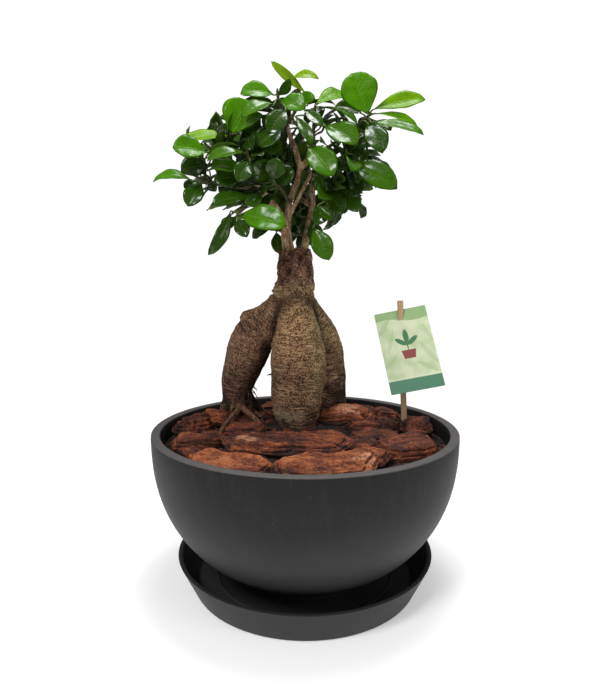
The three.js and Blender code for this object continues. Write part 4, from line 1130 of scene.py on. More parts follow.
def make_trunk():
    trunk = place("swollen_roots", *gather(trunk_skins()), trunk_bark)
    fuse(trunk, 1.3, 5)
    points, normals = points_of(trunk), normals_of(trunk)
    run, owner, apart = along_roots(points)
    x, y, z = points.T
    neck = ease(z + 7 * fractal(points, 13, 3, 2), 290, 305) * ease(x, -44, -30) * ease(x, 26, 12)
    bulb = 1 - neck
    creeping = (x < -34) & (z < 178)
    left, right = np.isin(owner, LEFT_LEG) | creeping, np.isin(owner, RIGHT_LEG)
    centre = (owner == MIDDLE_BULB) & ~creeping
    over_mulch = left * ease(y, 36, 26) * ease(z, 196, 172)
    relief = 0.9 * fractal(points, 24, 2, 1) * bulb + 0.45 * fractal(points, 6, 3, 4) * bulb
    ring = np.sin(2 * np.pi * run / 2.8 + 2.4 * fractal(points, 11, 2, 6))
    relief += 0.16 * ring * bulb * ease(fractal(points, 9, 2, 8), -0.35, 0.35)
    plates = fractal(points * (1, 1, 0.5), 6, 4, 9)
    furrow = bell(fractal(points * (1, 1, 0.35), 8, 2, 12), 0.06)
    relief += neck * (2.0 * plates - 1.2 * furrow)
    collar = bell(z - 292, 10) * ease(x, -44, -34) * ease(x, 26, 14)
    knobbly = fractal(points, 5, 3, 13)
    relief += collar * (3.0 * knobbly + 0.6)
    relief += 3.2 * bell(z - 291, 7) * ease(x, -19, -27) * ease(x, -44, -34)
    # Painted shade: the neck's furrows, then the knots' pits and rings and the hollow under the scar,
    # are painted darker.
    hollow = 0.6 * furrow * neck
    knot = np.zeros(len(points))
    for at, size in KNOTS:
        d = np.linalg.norm(points - at, axis=1)
        near = bell(d, size * 1.35, 4)
        wave = np.cos(6.28 * d / (size * 0.9) + 0.8 * plates)
        relief += near * (1.4 + 1.1 * wave) - 3.6 * bell(d, size * 0.4)
        knot = np.maximum(knot, near)
        hollow = np.maximum(hollow * (1 - near), 0.8 * near * ease(wave, 0.0, -0.8))
        hollow = np.maximum(hollow, bell(d, size * 0.42))
    away = points - SCAR_AT
    slant = away @ unit(np.array([-0.62, 0.1, -0.78]))
    off = away @ unit(np.array([-0.78, -0.1, 0.62]))
    scar = bell(slant, 8) * ease(np.abs(away[:, 1]), 16, 4)
    relief += scar * (6.4 + 2.0 * plates) * ease(slant, 10, 5)
    # Painted shade under the scar's ledge.
    under_scar = bell(slant - 10, 1.8) * ease(np.abs(off), 12, 5)
    hollow = np.maximum(hollow, saturate(under_scar + 0.6 * scar * ease(-plates, -0.1, 0.3)))
    # Painted shade: darker where two roots come close, below the collar.
    crease_shade = ease(apart, 7.5, 0.5) * bulb * ease(z, 292, 276) * (1 - over_mulch)
    crust = bell(z - 166, 6) * centre * ease(x, 4, -14)
    relief += crust * (0.5 + 0.9 * fractal(points, 4, 3, 15))
    # Darker towards the feet of the legs and the foot of the bulb.
    damp = left * ease(z, 240, 172) + right * ease(z, 240, 186)
    damp += centre * (0.6 * ease(z, 178, 158) + 0.4 * ease(z, 236, 200))
    # Painted shade: the left leg's side that faces right, towards the bulb, is darkened.
    damp += 0.95 * left * ease(normals[:, 0], 0.15, 0.75) * ease(z, 280, 240)
    moved = points + normals * relief[:, None]
    moved[:, 2] += ease(z, 321, 329) * 3.4 * fractal(moved * (1, 1, 0), 6, 3, 31)
    move_points(trunk, moved)
    moss = ease(x, -4, 16) * ease(z, 296, 250) * centre + 0.95 * right + 0.3 * ease(z, 230, 290)
    rise = neck * plates * 1.6 + collar * knobbly * 1.6 + bulb * fractal(moved, 6, 3, 4)
    mark(trunk, bands=np.c_[x * 0.1, y * 0.1, run] * MM, neck=neck, crust=crust,
         moss=saturate(moss), damp=saturate(damp - 0.8 * over_mulch), rise=np.clip(rise, -1, 1),
         # Painted shade: the furrows, knots, the hollow under the scar and the creases.
         hollow=saturate(np.maximum(hollow, 0.85 * crease_shade)),
         grainy=saturate(collar + 0.4 * right * ease(z, 236, 205)),
         ruddy=left + 0.6 * centre * ease(x, 2, -20) * ease(z, 262, 205),
         knot=np.maximum(knot, 0.9 * over_mulch * ease(plates, -0.6, 0.1)))
    return trunk


def make_branches():
    skins = [tube(path, 14, (len(path) - 1) * 9) for path in BRANCHES.values()]
    branches = place("branches", *gather(skins), branch_bark)
    fuse(branches, 0.7, 3)
    points = points_of(branches)
    rings = np.sin(points[:, 2] * 1.9 + 3 * fractal(points, 9, 2, 22))
    relief = 0.34 * fractal(points, 4.5, 3, 21) + 0.16 * rings
    move_points(branches, points + normals_of(branches) * relief[:, None])
    return branches


def make_rootlets():
    """Short curly rootlets on the inner side of the left leg, and a thorn on the middle bulb."""
    skins = [tube([(-30, 10, 206, 1.3), (-34.5, 8.5, 206.4, 0.9), (-38.5, 7.5, 205.6, 0.3)], 7, 8)]
    for k in range(30):
        a, b, c, d, e = (chance(900 + k * 5 + i) for i in range(5))
        turn = math.radians(-95 + 90 * a)
        out = np.array([math.cos(turn), math.sin(turn), 0])
        start = LEFT_FOOT + UP * (164 + 30 * b) + out * 13.5
        reach = 7 + 5 * c
        middle = start + out * reach * 0.7 + (3 * d - 1.5, 3 * e - 1.5, -1.5 * d)
        end = start + out * reach + (5 * e - 2.5, -3 * d, -4 - 5 * e)
        skins.append(tube([(*start, 0.6), (*middle, 0.45), (*end, 0.25)], 6, 8))
    rootlets = place("rootlets", *gather(skins), trunk_bark)
    # The rootlets take the full darkening of the low roots.
    mark(rootlets, damp=np.ones(len(rootlets.data.vertices)))
    return rootlets


def unite(name, pieces):
    """Joins pieces into one object."""
    bpy.ops.object.select_all(action="DESELECT")
    for piece in pieces:
        piece.select_set(True)
    bpy.context.view_layer.objects.active = pieces[0]
    bpy.ops.object.join()
    pieces[0].name = name
    pieces[0].data.name = name
    return pieces[0]


wood = unite("ginseng_wood", [make_trunk(), make_branches(), make_rootlets()])
hand_over(wood, "ficus_wood", "bonsai_wood")

# Leafy shoots. Each drawn leaf is (base x, y, z, tip x, y, z, width, face, side, arch, young):
# face turns its upper side from up (0) to the front (90), side turns it to the right, arch is
# the rise of its middle in hundredths of its length, and young is 1 for the freshest green.
SHOOTS = [
    ("left_high", [(-41, 3, 391), (-63, -6, 404), (-77, -14, 413), (-85, -20, 419)], 2, [
        (-69, -12, 433, -113, -30, 423, 19, 46, 0, 5, 0.85),
        (-89, -22, 416, -118, -34, 418, 25, 65, 0, 5, 0.6),
        (-91, -24, 410, -59, -30, 420, 15, 5, 0, 16, 0.48),
        (-89, -20, 406, -112, -30, 398, 22, 75, 0, 6, 0.12),
    ]),
    ("left_tip", [(-45, 0, 388), (-67, -4, 389), (-88, -8, 392), (-100, -10, 396)], 2, [
        (-105, -10, 393, -142, -14, 392, 19, 38, 0, 14, 0.6),
        (-96, -14, 390, -108, -24, 368, 19, 75, 0, 5, 0.3),
        (-100, -6, 393, -113, -14, 386, 12, 60, 0, 5, 0.3),
        (-92, -6, 391, -83, -14, 383, 10, 70, 0, 5, 0.15),
    ]),
    ("left_mid", [(-40, -2, 391), (-47, -18, 401), (-51, -30, 409), (-52, -36, 415)], 2, [
        (-52, -38, 412, -86, -46, 404, 20, 40, 0, 8, 0.46),
        (-54, -36, 397, -83, -42, 400, 20, 50, 0, 6, 0.5),
        (-55, -30, 394, -81, -40, 388, 18, 80, 0, 4, 0.2),
        (-49, -40, 405, -58, -56, 384, 18, 75, 10, 6, 0.22),
    ]),
    ("top_left", [(-17, 13, 450), (-33, 4, 444), (-51, -10, 438), (-63, -18, 433)], 2, [
        (-69, -18, 433, -52, -18, 463, 33, 88, 0, 3, 0.67),
        (-63, -22, 432, -38, -30, 447, 18, 50, 0, 8, 0.55),
        (-26, -14, 450, -37, -22, 437, 16, 70, 0, 4, 0.3),
        (-22, -20, 437, -43, -34, 418, 24, 60, 0, 5, 0.3),
        (-39, -24, 433, -27, -40, 410, 20, 75, 0, 6, 0.2),
    ]),
    ("top", [(-18, 12, 452), (-21, 8, 460), (-25, 2, 469), (-26, 0, 476)], 1, [
        (-28, -20, 459, -56, -37, 442, 20, 42, 0, 10, 0.52),
        (-29, 0, 473, -60, -8, 472, 22, 60, 0, 10, 0.64),
        (-26, -6, 470, -14, -10, 484, 14, 75, 60, 5, 0.4),
        (-23, -8, 466, 0, -20, 455, 20, 75, 0, 6, 0.6),
        (-18, -10, 457, -33, -24, 432, 20, 80, 0, 6, 0.2),
    ]),
    ("top_tip", [(-16, 16, 452), (-8, 14, 466), (-5, 10, 474), (-6, 8, 482)], 1, [
        (1, 8, 477, -32, 0, 503, 9, 105, 0, 4, 0.95),
        (-14, 10, 490, 13, 4, 489, 12, 55, 0, 16, 0.95),
        (-15, 0, 473, -2, -2, 478, 12, 20, 0, 6, 0.3),
        (0, 2, 465, 5, 0, 476, 14, 90, 0, 4, 0.65),
    ]),
    ("right_hub", [(11, 12, 423), (8, 4, 435), (8, -4, 448), (9, -8, 459)], 1, [
        (9, -8, 461, 42, 16, 478, 20, 52, 0, 10, 0.78),
        (11, -12, 458, 47, -24, 440, 20, 20, 0, 10, 0.35),
        (-1, -18, 454, 15, -32, 436, 13, 60, 0, 4, 0.3),
        (-9, -20, 448, 7, -36, 420, 11, 80, 0, 5, 0.3),
        (17, -24, 439, 45, -44, 418, 26, 62, 0, 6, 0.48),
    ]),
    ("right_top", [(14, 14, 424), (32, 12, 435), (47, 8, 446), (59, 6, 455)], 2, [
        (60, 4, 456, 43, 4, 494, 35, 88, 0, 3, 0.66),
        (64, 4, 461, 113, 0, 470, 20, 62, 0, 5, 0.84),
        (66, 2, 457, 105, -6, 444, 12, 45, 0, 7, 0.75),
        (62, -2, 448, 109, -16, 434, 17, 42, 0, 4, 0.55),
        (58, -8, 445, 69, -30, 414, 22, 80, 0, 5, 0.25),
        (63, -6, 448, 78, -20, 436, 14, 60, 0, 4, 0.3),
        (55, 10, 459, 28, 14, 467, 18, 60, 0, 8, 0.35),
    ]),
    ("right_low", [(12, 14, 421), (24, 4, 415), (35, -6, 413), (42, -12, 412)], 2, [
        (38, -20, 408, 82, -36, 382, 26, 68, 0, 5, 0.44),
        (39, -6, 408, 48, -18, 377, 22, 80, 0, 6, 0.15),
        (37, -14, 423, 56, -26, 409, 20, 70, 0, 5, 0.28),
        (2, -30, 420, 24, -52, 390, 26, 75, 0, 4, 0.5),
    ]),
    ("right_under", [(7, 10, 402), (15, 6, 396), (22, 0, 386), (24, -4, 378)], 1, [
        (33, -6, 391, 49, -16, 364, 20, 80, 0, 5, 0.34),
        (21, -10, 386, 34, -22, 361, 20, 80, 0, 5, 0.2),
        (12, -6, 371, 26, -14, 357, 12, 80, 0, 4, 0.35),
        (8, 2, 352, 23, -8, 320, 21, 88, 0, 4, 0.45),
        (14, 0, 404, 18, -12, 380, 19, 80, 0, 5, 0.15),
        (24, -4, 376, 10, -10, 353, 17, 80, 0, 5, 0.3),
    ]),
    ("low_left", [(-41, 1, 384), (-47, -22, 373), (-55, -38, 364), (-59, -46, 359)], 1, [
        (-58, -48, 358, -17, -66, 346, 27, 62, 0, 4, 0.56),
        (-66, -44, 361, -84, -58, 322, 13, 62, 45, 10, 0.25),
        (-61, -44, 356, -73, -54, 344, 12, 75, 0, 6, 0.25),
        (-50, -30, 376, -82, -46, 367, 19, 55, 0, 5, 0.3),
        (-39, -30, 378, -52, -44, 365, 14, 70, 0, 4, 0.3),
        (-61, -40, 355, -51, -52, 338, 14, 80, 0, 4, 0.2),
    ]),
    ("heart", [(-16, 18, 378), (-22, -2, 386), (-28, -14, 391), (-32, -22, 395)], 2, [
        (-32, -26, 391, -47, -38, 403, 22, 80, 0, 5, 0.28),
        (-29, -28, 390, -25, -36, 408, 20, 85, 0, 4, 0.25),
        (-27, -28, 387, -10, -36, 398, 20, 75, 0, 6, 0.12),
    ]),
    ("low_back", [(2, 42, 350), (-12, 48, 349), (-24, 54, 352), (-33, 58, 359)], 3, [
        (-30, 50, 352, -27, 44, 329, 14, 85, 0, 4, 0.3),
        (-35, 60, 357, -58, 72, 349, 18, 60, 0, 6, 0.3),
        (0, 42, 362, 10, 32, 336, 20, 85, 0, 5, 0.3),
        (-10, 46, 362, -20, 40, 338, 18, 80, 0, 5, 0.3),
    ]),
    ("inner", [(7, 56, 383), (-4, 50, 396), (-14, 46, 409), (-24, 42, 422)], 10, []),
    ("inner_low", [(4, 46, 364), (-10, 50, 370), (-24, 52, 374), (-38, 50, 382)], 8, []),
    ("back_left", [(-38, 70, 410), (-52, 66, 416), (-66, 60, 420), (-80, 54, 424)], 10, []),
    ("back_left_low", [(-26, 70, 400), (-40, 74, 392), (-52, 76, 386), (-66, 76, 384)], 9, []),
    ("back_mid", [(-10, 66, 391), (-16, 80, 402), (-20, 90, 414), (-22, 98, 426)], 10, []),
    ("back_top", [(-2, 50, 446), (-6, 48, 456), (-12, 46, 464), (-18, 44, 472)], 9, []),
    ("back_right", [(36, 66, 424), (46, 64, 432), (54, 60, 440), (62, 56, 448)], 10, []),
    ("back_right_low", [(18, 66, 409), (32, 70, 402), (44, 68, 396), (56, 62, 392)], 9, []),
]
# Dark leaves that hang behind the stems' feet, given as above
DEEP_LEAVES = {
    "inner_low": [(0, 60, 378, 3, 64, 350, 18, 80, 0, 5, 0.12),
                  (-10, 58, 372, -15, 62, 346, 17, 80, 0, 5, 0.16),
                  (8, 58, 366, 14, 60, 340, 16, 80, 0, 5, 0.2)],
    "inner": [(6, 66, 390, 12, 68, 362, 18, 85, 0, 5, 0.12)],
    "low_back": [(-4, 54, 354, -1, 58, 331, 15, 80, 0, 5, 0.15)],
    "back_mid": [(-4, 76, 399, -2, 70, 369, 20, 85, 0, 5, 0.1),
                 (4, 76, 392, 7, 72, 364, 18, 85, 0, 5, 0.1)],
    "back_left_low": [(-10, 66, 380, -7, 66, 352, 17, 85, 0, 5, 0.1)],
}
FOLD = 0.24
EYE = np.array([-5.0, -535.0, 298.0])
SLIDES = [0, -4, 4, -8, 8, -12, 12, -16, 16, -20, 20, -24, 24, -30, 30]
TURNS = [0, 11, -11, 22, -22, 33, -33, 44, -44, 55, -55, 66, -66]
CLEAR_OTHER = 4.6  # the least gap to leaves of other shoots
CLEAR_OWN = 4  # the least gap to leaves of the same shoot
CLEAR_WOOD = 2.4  # the least gap to the wood
CLEAR_SMALL = (2.6, 2.2, 1.2)  # the same three gaps for small leaves
NEAR_LEAF = 62  # leaves farther off than this can't touch
NEAR_WOOD = 40  # and neither can wood farther off than this
SKIP = 13  # a leaf's first points, at its stalk, may come near its own shoot
GOLDEN_ANGLE = 137.5
SMALL_LEAVES = 14  # tries for small leaves deep in the crown, on each twig
CROWN_AT = np.array([-16, 22, 413])
CROWN_SIZE = np.array([112, 98, 72])
HEART_AT = np.array([2, 42, 372])  # the dark middle, down to the stems' feet
HEART_SIZE = np.array([42, 36, 42])


def leaf_half(s):
    """Half the breadth of a leaf, 1 at its widest, at the share s of its length."""
    return abs(math.sin(math.pi * s ** 1.22)) ** (0.95 - 0.4 * s)


def leaf_frame(leaf):
    along = leaf["tip"] - leaf["base"]
    long = np.linalg.norm(along)
    along = along / long
    up = unit(leaf["facing"] - along * leaf["facing"].dot(along))
    return along, up, np.cross(along, up), long


def leaf_points(leaf):
    """Points spread over a leaf, which stay clear of other leaves and of the wood."""
    along, up, wide, long = leaf_frame(leaf)
    points = [mix(leaf["foot"], leaf["base"], t) for t in (0.25, 0.6, 0.95)]
    for s in (0.06, 0.2, 0.35, 0.5, 0.65, 0.8, 0.97):
        half = leaf["width"] / 2 * leaf_half(s)
        for v in (-1, -0.5, 0, 0.5, 1):
            wave = 0.05 * math.sin(9 * s + leaf["phase"]) * v
            rise = leaf["arch"] * long * 4 * s * (1 - s) + FOLD * half * abs(v) + wave * half
            points.append(leaf["base"] + along * long * s + wide * half * v + up * rise)
    return np.array(points)


def nearest_on_twig(twig, point):
    spots = [line_at(twig, 0.3 + 0.7 * i / 28) for i in range(29)]
    return min(spots, key=lambda spot: np.linalg.norm(spot - point))


def drawn_leaf(row, seed, twig):
    width, face, side, arch, young = row[6:]
    face, side = math.radians(face), math.radians(side)
    facing = (math.sin(side), -math.sin(face) * math.cos(side), math.cos(face) * math.cos(side))
    base = np.array(row[:3], float)
    return {
        "foot": nearest_on_twig(twig, base), "base": base, "tip": np.array(row[3:6], float),
        "width": width, "facing": np.array(facing), "arch": arch / 100,
        "phase": 6.28 * chance(seed), "young": young, "fine": 1.0,
    }


def ruled_leaf(twig, k, n, seed, turn, size=1.0, start=0.34):
    """Leaf k of n round the twig, each turned by the golden angle."""
    t = start + (1 - start) * ((k + 0.6) / n)
    root = line_at(twig, t)
    along = unit(line_at(twig, min(1, t + 0.05)) - line_at(twig, t - 0.05))
    flat = unit(UP - along * along[2])
    cross = np.cross(along, flat)
    a = math.radians(GOLDEN_ANGLE * k + 77 * seed + turn)
    lean = math.radians(80 - 42 * t + 14 * chance(seed * 31 + k))
    heading = (along * math.cos(lean) + flat * (math.sin(lean) * math.cos(a))
               + cross * (math.sin(lean) * math.sin(a)))
    heading[2] += 0.12
    heading = unit(heading)
    long = size * (36 + 11 * chance(seed * 17 + k * 3 + 5))
    base = root + heading * (7 + 3 * chance(seed + k * 7))
    return {
        "foot": root, "base": base, "tip": base + heading * long,
        "width": long * (0.46 + 0.06 * chance(seed * 13 + k)),
        "facing": along * 0.7 + (0, 0, 0.8), "arch": 0.06 + 0.06 * chance(seed * 5 + k),
        "phase": 6.28 * chance(seed * 3 + k),
        "young": 0.15 + 0.35 * t * chance(seed * 7 + k) + 0.1 * (t > 0.85), "fine": 0.0,
    }


def wood_spots():
    """Points along the wood and the twigs, their radii, and the shoot that each belongs to."""
    lines = [(path, -1) for path in [*BRANCHES.values(), *(path for _, path in ROOTS[:THICK_ROOTS])]]
    lines += [(twig, owner) for owner, (_, twig, _, _) in enumerate(SHOOTS)]
    spots = []
    for path, owner in lines:
        for i in range(25):
            p = line_at(path, i / 24)
            spots.append((*p[:3], p[3] if len(p) > 3 else TWIG_R, owner))
    spots = np.array(spots)
    return spots[:, :3], spots[:, 3], spots[:, 4]


def is_within(tip, at, size):
    return np.sum(((tip - at) / size) ** 2) < 1


def settle_leaves():
    """Gives each shoot its leaves, clear of each other and of the wood."""
    wood_at, wood_r, wood_owner = wood_spots()
    taken = []

    def gaps(a, b):
        return np.linalg.norm(a[:, None] - b[None], axis=2)

    def is_clear(leaf, owner, other_gap=CLEAR_OTHER, own_gap=CLEAR_OWN, wood_gap=CLEAR_WOOD):
        points = leaf_points(leaf)
        centre = mix(leaf["base"], leaf["tip"], 0.5)
        near = np.linalg.norm(wood_at - centre, axis=1) <= NEAR_WOOD
        for own in (False, True):
            some = near & ((wood_owner == owner) == own)
            limit = wood_r[some] + (0.8 if own else wood_gap)
            if (gaps(points[SKIP if own else 0:], wood_at[some]) < limit).any():
                return False
        for _, others, theirs, their_centre in taken:
            if np.linalg.norm(centre - their_centre) > NEAR_LEAF:
                continue
            skip, limit = (SKIP, own_gap) if theirs == owner else (0, other_gap)
            if (gaps(points[skip:], others[skip:]) < limit).any():
                return False
        return True

    def keep(leaf, owner):
        taken.append((leaf, leaf_points(leaf), owner, mix(leaf["base"], leaf["tip"], 0.5)))

    def keep_drawn(rows, twig, owner):
        for k, row in enumerate(rows):
            leaf = drawn_leaf(row, owner * 11 + k, twig)
            base, tip = leaf["base"], leaf["tip"]
            for slide in [*SLIDES, 0]:
                leaf["base"], leaf["tip"] = (mix(p, EYE, slide / EYE[1]) for p in (base, tip))
                leaf["foot"] = nearest_on_twig(twig, leaf["base"])
                if is_clear(leaf, owner):
                    break
            keep(leaf, owner)

    for owner, (_, twig, _, rows) in enumerate(SHOOTS):
        keep_drawn(rows, twig, owner)
    for owner, (_, twig, fill, _) in enumerate(SHOOTS):
        for k in range(fill):
            for turn in TURNS:
                leaf = ruled_leaf(twig, k, fill, owner + 1, turn)
                if is_within(leaf["tip"], CROWN_AT, CROWN_SIZE) and is_clear(leaf, owner):
                    keep(leaf, owner)
                    break
    for owner, (name, twig, _, _) in enumerate(SHOOTS):
        keep_drawn(DEEP_LEAVES.get(name, ()), twig, owner)
    for size, shrink in ((0.85, 0.86), (0.62, 0.84)):
        for owner, (_, twig, _, _) in enumerate(SHOOTS):
            start = 0.1 if twig[0][1] > 36 else 0.34
            for k in range(SMALL_LEAVES):
                for turn in TURNS:
                    leaf = ruled_leaf(twig, k, SMALL_LEAVES, owner + 43, turn + 60, size, start)
                    leaf["young"] *= 0.6
                    tip = leaf["tip"]
                    inside = is_within(tip, CROWN_AT, CROWN_SIZE * shrink)
                    inside |= is_within(tip, HEART_AT, HEART_SIZE)
                    inside &= not (tip[1] < 22 and -34 < tip[0] < 12)
                    if inside and is_clear(leaf, owner, *CLEAR_SMALL):
                        keep(leaf, owner)
                        break
    return [[leaf for leaf, _, owner, _ in taken if owner == i] for i in range(len(SHOOTS))]


def leaf_blank(rows, columns):
    """A flat leaf of unit size: a closed slab whose vertices know where on the blade they are."""
    places = [(0, 0, 0)]
    grid = {}
    for i in range(1, rows):
        for j in range(columns + 1):
            v = -1 + 2 * j / columns
            for side in ((0,) if j in (0, columns) else (1, -1)):
                grid[i, j, side] = len(places)
                places.append((math.copysign(abs(v) ** 0.9, v), i / rows, side))
    tip = len(places)
    places.append((0, 1, 0))
    faces = []
    for side in (1, -1):
        for j in range(columns):
            left, right = ([grid[i, c, 0 if c in (0, columns) else side] for i in range(1, rows)]
                           for c in (j, j + 1))
            some = [(left[0], right[0], 0), *zip(left, right, right[1:], left[1:]),
                    (left[-1], right[-1], tip)]
            faces += [face if side < 0 else face[::-1] for face in some]
    blank = place("leaf_blank", np.array(places) / MM, faces, leaf_blade)
    mark(blank, blade=places)
    return blank


def leaf_tree():
    """Sets a blank on each point and bends it to the leaf that the point describes."""
    net, given = new_group("leaves_on_twig", {
        "Geometry": ["Geometry"], "Object": ["Fine Blank", "Small Blank", "Twig"],
        "Float": ["Thickness", "Fold"], "Material": ["Finish"],
    })

    def field(name, kind="FLOAT"):
        return net.get("GeometryNodeInputNamedAttribute", {"Name": name}, data_type=kind)

    def form(name):
        return net.get("GeometryNodeObjectInfo", {"Object": given[name]}, "Geometry")

    def join(parts):
        whole = net.get("GeometryNodeJoinGeometry", {})
        for part in parts:
            net.tree.links.new(part.socket, whole.socket.node.inputs[0])
        return whole

    fine = field("fine")
    copies = join([net.get("GeometryNodeInstanceOnPoints", {
        "Points": given["Geometry"], "Selection": wanted, "Instance": form(blank),
    }) for blank, wanted in (("Fine Blank", fine), ("Small Blank", 1 - fine))])
    leaves = net.get("GeometryNodeRealizeInstances", {"Geometry": copies})
    blade = field("blade", "FLOAT_VECTOR")
    v, s, side = (blade.part(i) for i in range(3))
    long, width, arch, phase = (field(n) for n in ("long", "width", "arch", "phase"))
    base, along, up = (field(n, "FLOAT_VECTOR") for n in ("base", "along", "up"))
    half = width * 0.5 * (((s ** 1.22) * math.pi).sin().abs() ** (0.95 - s * 0.4))
    fold = (v * v + 0.012) ** 0.5
    groove = (v * v * -90).exp() * 0.05
    wave = (s * 9 + phase).sin() * v * 0.05 + (s * 19 + phase * 2).sin() * v.abs() * v * 0.035
    rise = arch * long * s * (1 - s) * 4 + half * (given["Fold"] * fold - groove + wave)
    rise = rise - long * (s - 0.82).most(0.0) ** 2 * 0.9
    thin_rim = (1 - v * v).most(0.0) ** 0.5
    thin_ends = (s * math.pi).sin().most(0.0) ** 0.35
    body = given["Thickness"] * 0.5 * side * thin_rim * thin_ends
    at = base + along * (long * s) + along.cross(up) * (half * v) + up * (rise + body)
    leaves = net.get("GeometryNodeSetPosition", {"Geometry": leaves, "Position": at})
    leaves = net.get("GeometryNodeSetMaterial", {"Geometry": leaves, "Material": given["Finish"]})
    net.get("NodeGroupOutput", {0: join([leaves, form("Twig")])})
    return net.tree


def make_twig(name, twig, leaves):
    """The twig with its bud, and a petiole for each leaf."""
    bud = mix(line_at(twig, 0.92), line_at(twig, 1), 3.4)
    rings = limb_rings([(*p, r) for p, r in zip([*twig, bud], (1.9, 1.6, 1.4, 1.3, 0.4))], 10, 32)
    knobs = 1 + 0.16 * np.array([math.sin(i * 2.4) for i in range(len(rings))])
    centres = rings.mean(1, keepdims=True)
    skins = [skin(centres + (rings - centres) * knobs[:, None, None])]
    wooden = len(skins[0][1])
    for leaf in leaves:
        along, up, _, long = leaf_frame(leaf)
        foot, base = leaf["foot"], leaf["base"]
        inside = base + along * 3.2 + up * (leaf["arch"] * long * 0.1)
        bend = mix(foot, base, 0.55) + up * 0.06 * np.linalg.norm(base - foot)
        path = [(*foot, 1.0), (*bend, PETIOLE_R), (*base, PETIOLE_R * 0.92), (*inside, 0.42)]
        skins.append(tube(path, *((8, 14) if leaf["fine"] else (6, 7))))
    made = place(name, *gather(skins), green_twig, petiole)
    for face in made.data.polygons:
        face.material_index = int(face.index >= wooden)
    return made


def make_shoots():
    fine, small = leaf_blank(14, 8), leaf_blank(8, 4)
    tree = leaf_tree()
    for (name, twig, _, _), leaves in zip(SHOOTS, settle_leaves()):
        along, up, _, long = zip(*(leaf_frame(leaf) for leaf in leaves))
        bases = np.array([leaf["base"] for leaf in leaves])
        shoot = place(f"leafy_{name}", bases, [])
        mark(shoot, base=bases * MM, along=along, up=up, long=np.array(long) * MM,
             width=[leaf["width"] * MM for leaf in leaves],
             **{key: [leaf[key] for leaf in leaves] for key in ("arch", "phase", "young", "fine")})
        stalks = make_twig("stalks", twig, leaves)
        change(shoot, "NODES", {
            "Fine Blank": fine, "Small Blank": small, "Twig": stalks, "Fold": FOLD,
            "Thickness": LEAF_THICK * 0.85 * MM, "Finish": leaf_blade,
        }, node_group=tree)
        shoot.data.shade_smooth()
        bpy.data.objects.remove(stalks)
        hand_over(shoot, "ficus_leaf", f"shoot_{name}")
    for blank in (fine, small):
        bpy.data.objects.remove(blank)


make_shoots()


# The label: a wooden stick, threaded through a slit in the card
def stick_turn():
    return np.array(Matrix.Rotation(math.radians(STICK["lean"]), 3, "Y"))


def make_stick():
    half_w, half_t, top = STICK["width"] / 2, STICK["thick"] / 2, STICK["length"]
    corner = 0.6
    section = []
    for cx, cy, start in ((1, 1, 0), (-1, 1, 90), (-1, -1, 180), (1, -1, 270)):
        for i in range(5):
            a = math.radians(start + i * 22.5)
            section.append((cx * (half_w - corner) + corner * math.cos(a),
                            cy * (half_t - corner) + corner * math.sin(a)))
    section = np.array(section)
    rings, edge = [], []
    for z in (0, 0.5, 1.2, *np.linspace(3, top - 3, 70), top - 0.9, top - 0.3, top):
        to_end = min(z, top - z)
        shrink = 1 - 0.13 * max(0, 1 - to_end)
        fibre = [0.05 * noise.noise(Vector((x * 2.2, y * 3, z / 28))) for x, y in section]
        grown = section * shrink * (1 + np.array(fibre)[:, None])
        rings.append(np.c_[grown, np.full(len(section), z)])
        rim = ease(np.abs(section[:, 0]), half_w - 0.7, half_w)
        edge += [*np.maximum(rim, ease(to_end, 1.5, 0.3))]
    points, faces = skin(np.array(rings))
    stick = place("wooden_stick", points @ stick_turn().T + STICK["foot"], faces, stick_wood)
    mark(stick, edge=[*edge, 1, 1])
    hand_over(stick, "stick_wood", "label_stick")


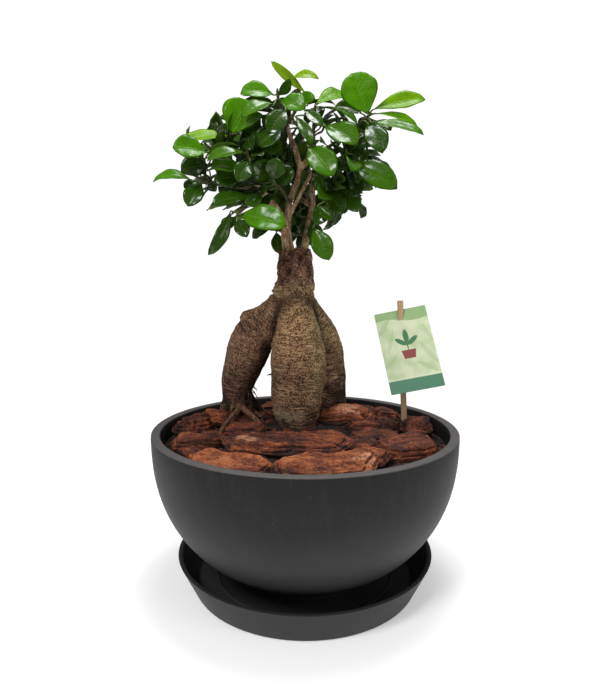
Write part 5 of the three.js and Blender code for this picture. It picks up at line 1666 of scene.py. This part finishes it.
def cut_slit(card):
    """Cuts the slit for the stick, a little wider than the stick."""
    half = np.array([STICK["width"] / 2 + 0.2, STICK["thick"] / 2 + 0.15, STICK["length"] / 2])
    corners = np.array([(i, j, k) for i in (-1, 1) for j in (-1, 1) for k in (-1, 1)]) * half
    corners = (corners + (0, 0, half[2])) @ stick_turn().T + STICK["foot"]
    faces = [(0, 1, 3, 2), (4, 6, 7, 5), (0, 4, 5, 1), (2, 3, 7, 6), (0, 2, 6, 4), (1, 5, 7, 3)]
    blade = place("slit", corners, faces, smooth=False)
    change(card, "BOOLEAN", operation="DIFFERENCE", solver="EXACT", object=blade)
    bpy.data.objects.remove(blade)


def make_card():
    width, height = CARD["width"], CARD["height"]
    columns, rows = 40, 64
    points, index = [], {}
    for side in (0, 1):
        for i in range(rows + 1):
            for j in range(columns + 1):
                x, z = (j / columns - 0.5) * width, (i / rows - 0.5) * height
                if i in (0, rows) and j in (0, columns):
                    x, z = (v - math.copysign(CARD["corner"] * 0.4, v) for v in (x, z))
                bow = math.cos(math.pi * x / width) * math.sin(2.2 * z / height + 0.4)
                index[side, i, j] = len(points)
                points.append((x, (side - 0.5) * CARD["thick"] + 0.2 * bow, z))
    faces = []
    for i in range(rows):
        for j in range(columns):
            loop = [(i, j), (i, j + 1), (i + 1, j + 1), (i + 1, j)]
            faces.append(tuple(index[0, a, b] for a, b in loop))
            faces.append(tuple(index[1, a, b] for a, b in reversed(loop)))
    edge = [(0, j) for j in range(columns)] + [(i, columns) for i in range(rows)]
    edge += [(rows, j) for j in range(columns, 0, -1)] + [(i, 0) for i in range(rows, 0, -1)]
    for here, after in zip(edge, edge[1:] + edge[:1]):
        faces.append((index[0, *after], index[0, *here], index[1, *here], index[1, *after]))
    pitch, yaw, roll = (math.radians(a) for a in CARD_TURN)
    turn = Matrix.Rotation(yaw, 3, "Z") @ Matrix.Rotation(pitch, 3, "X")
    turn = np.array(turn @ Matrix.Rotation(roll, 3, "Y"))
    placed = np.array(points) @ turn.T + CARD["at"]
    card = place("printed_card", placed, faces, card_print, smooth=False)
    cut_slit(card)
    flat = (points_of(card) - CARD["at"]) @ turn
    mark(card, print=np.c_[flat[:, 0] / width + 0.5, flat[:, 2] / height + 0.5, flat[:, 1]])
    hand_over(card, "label_card", "label_card")


make_stick()
make_card()
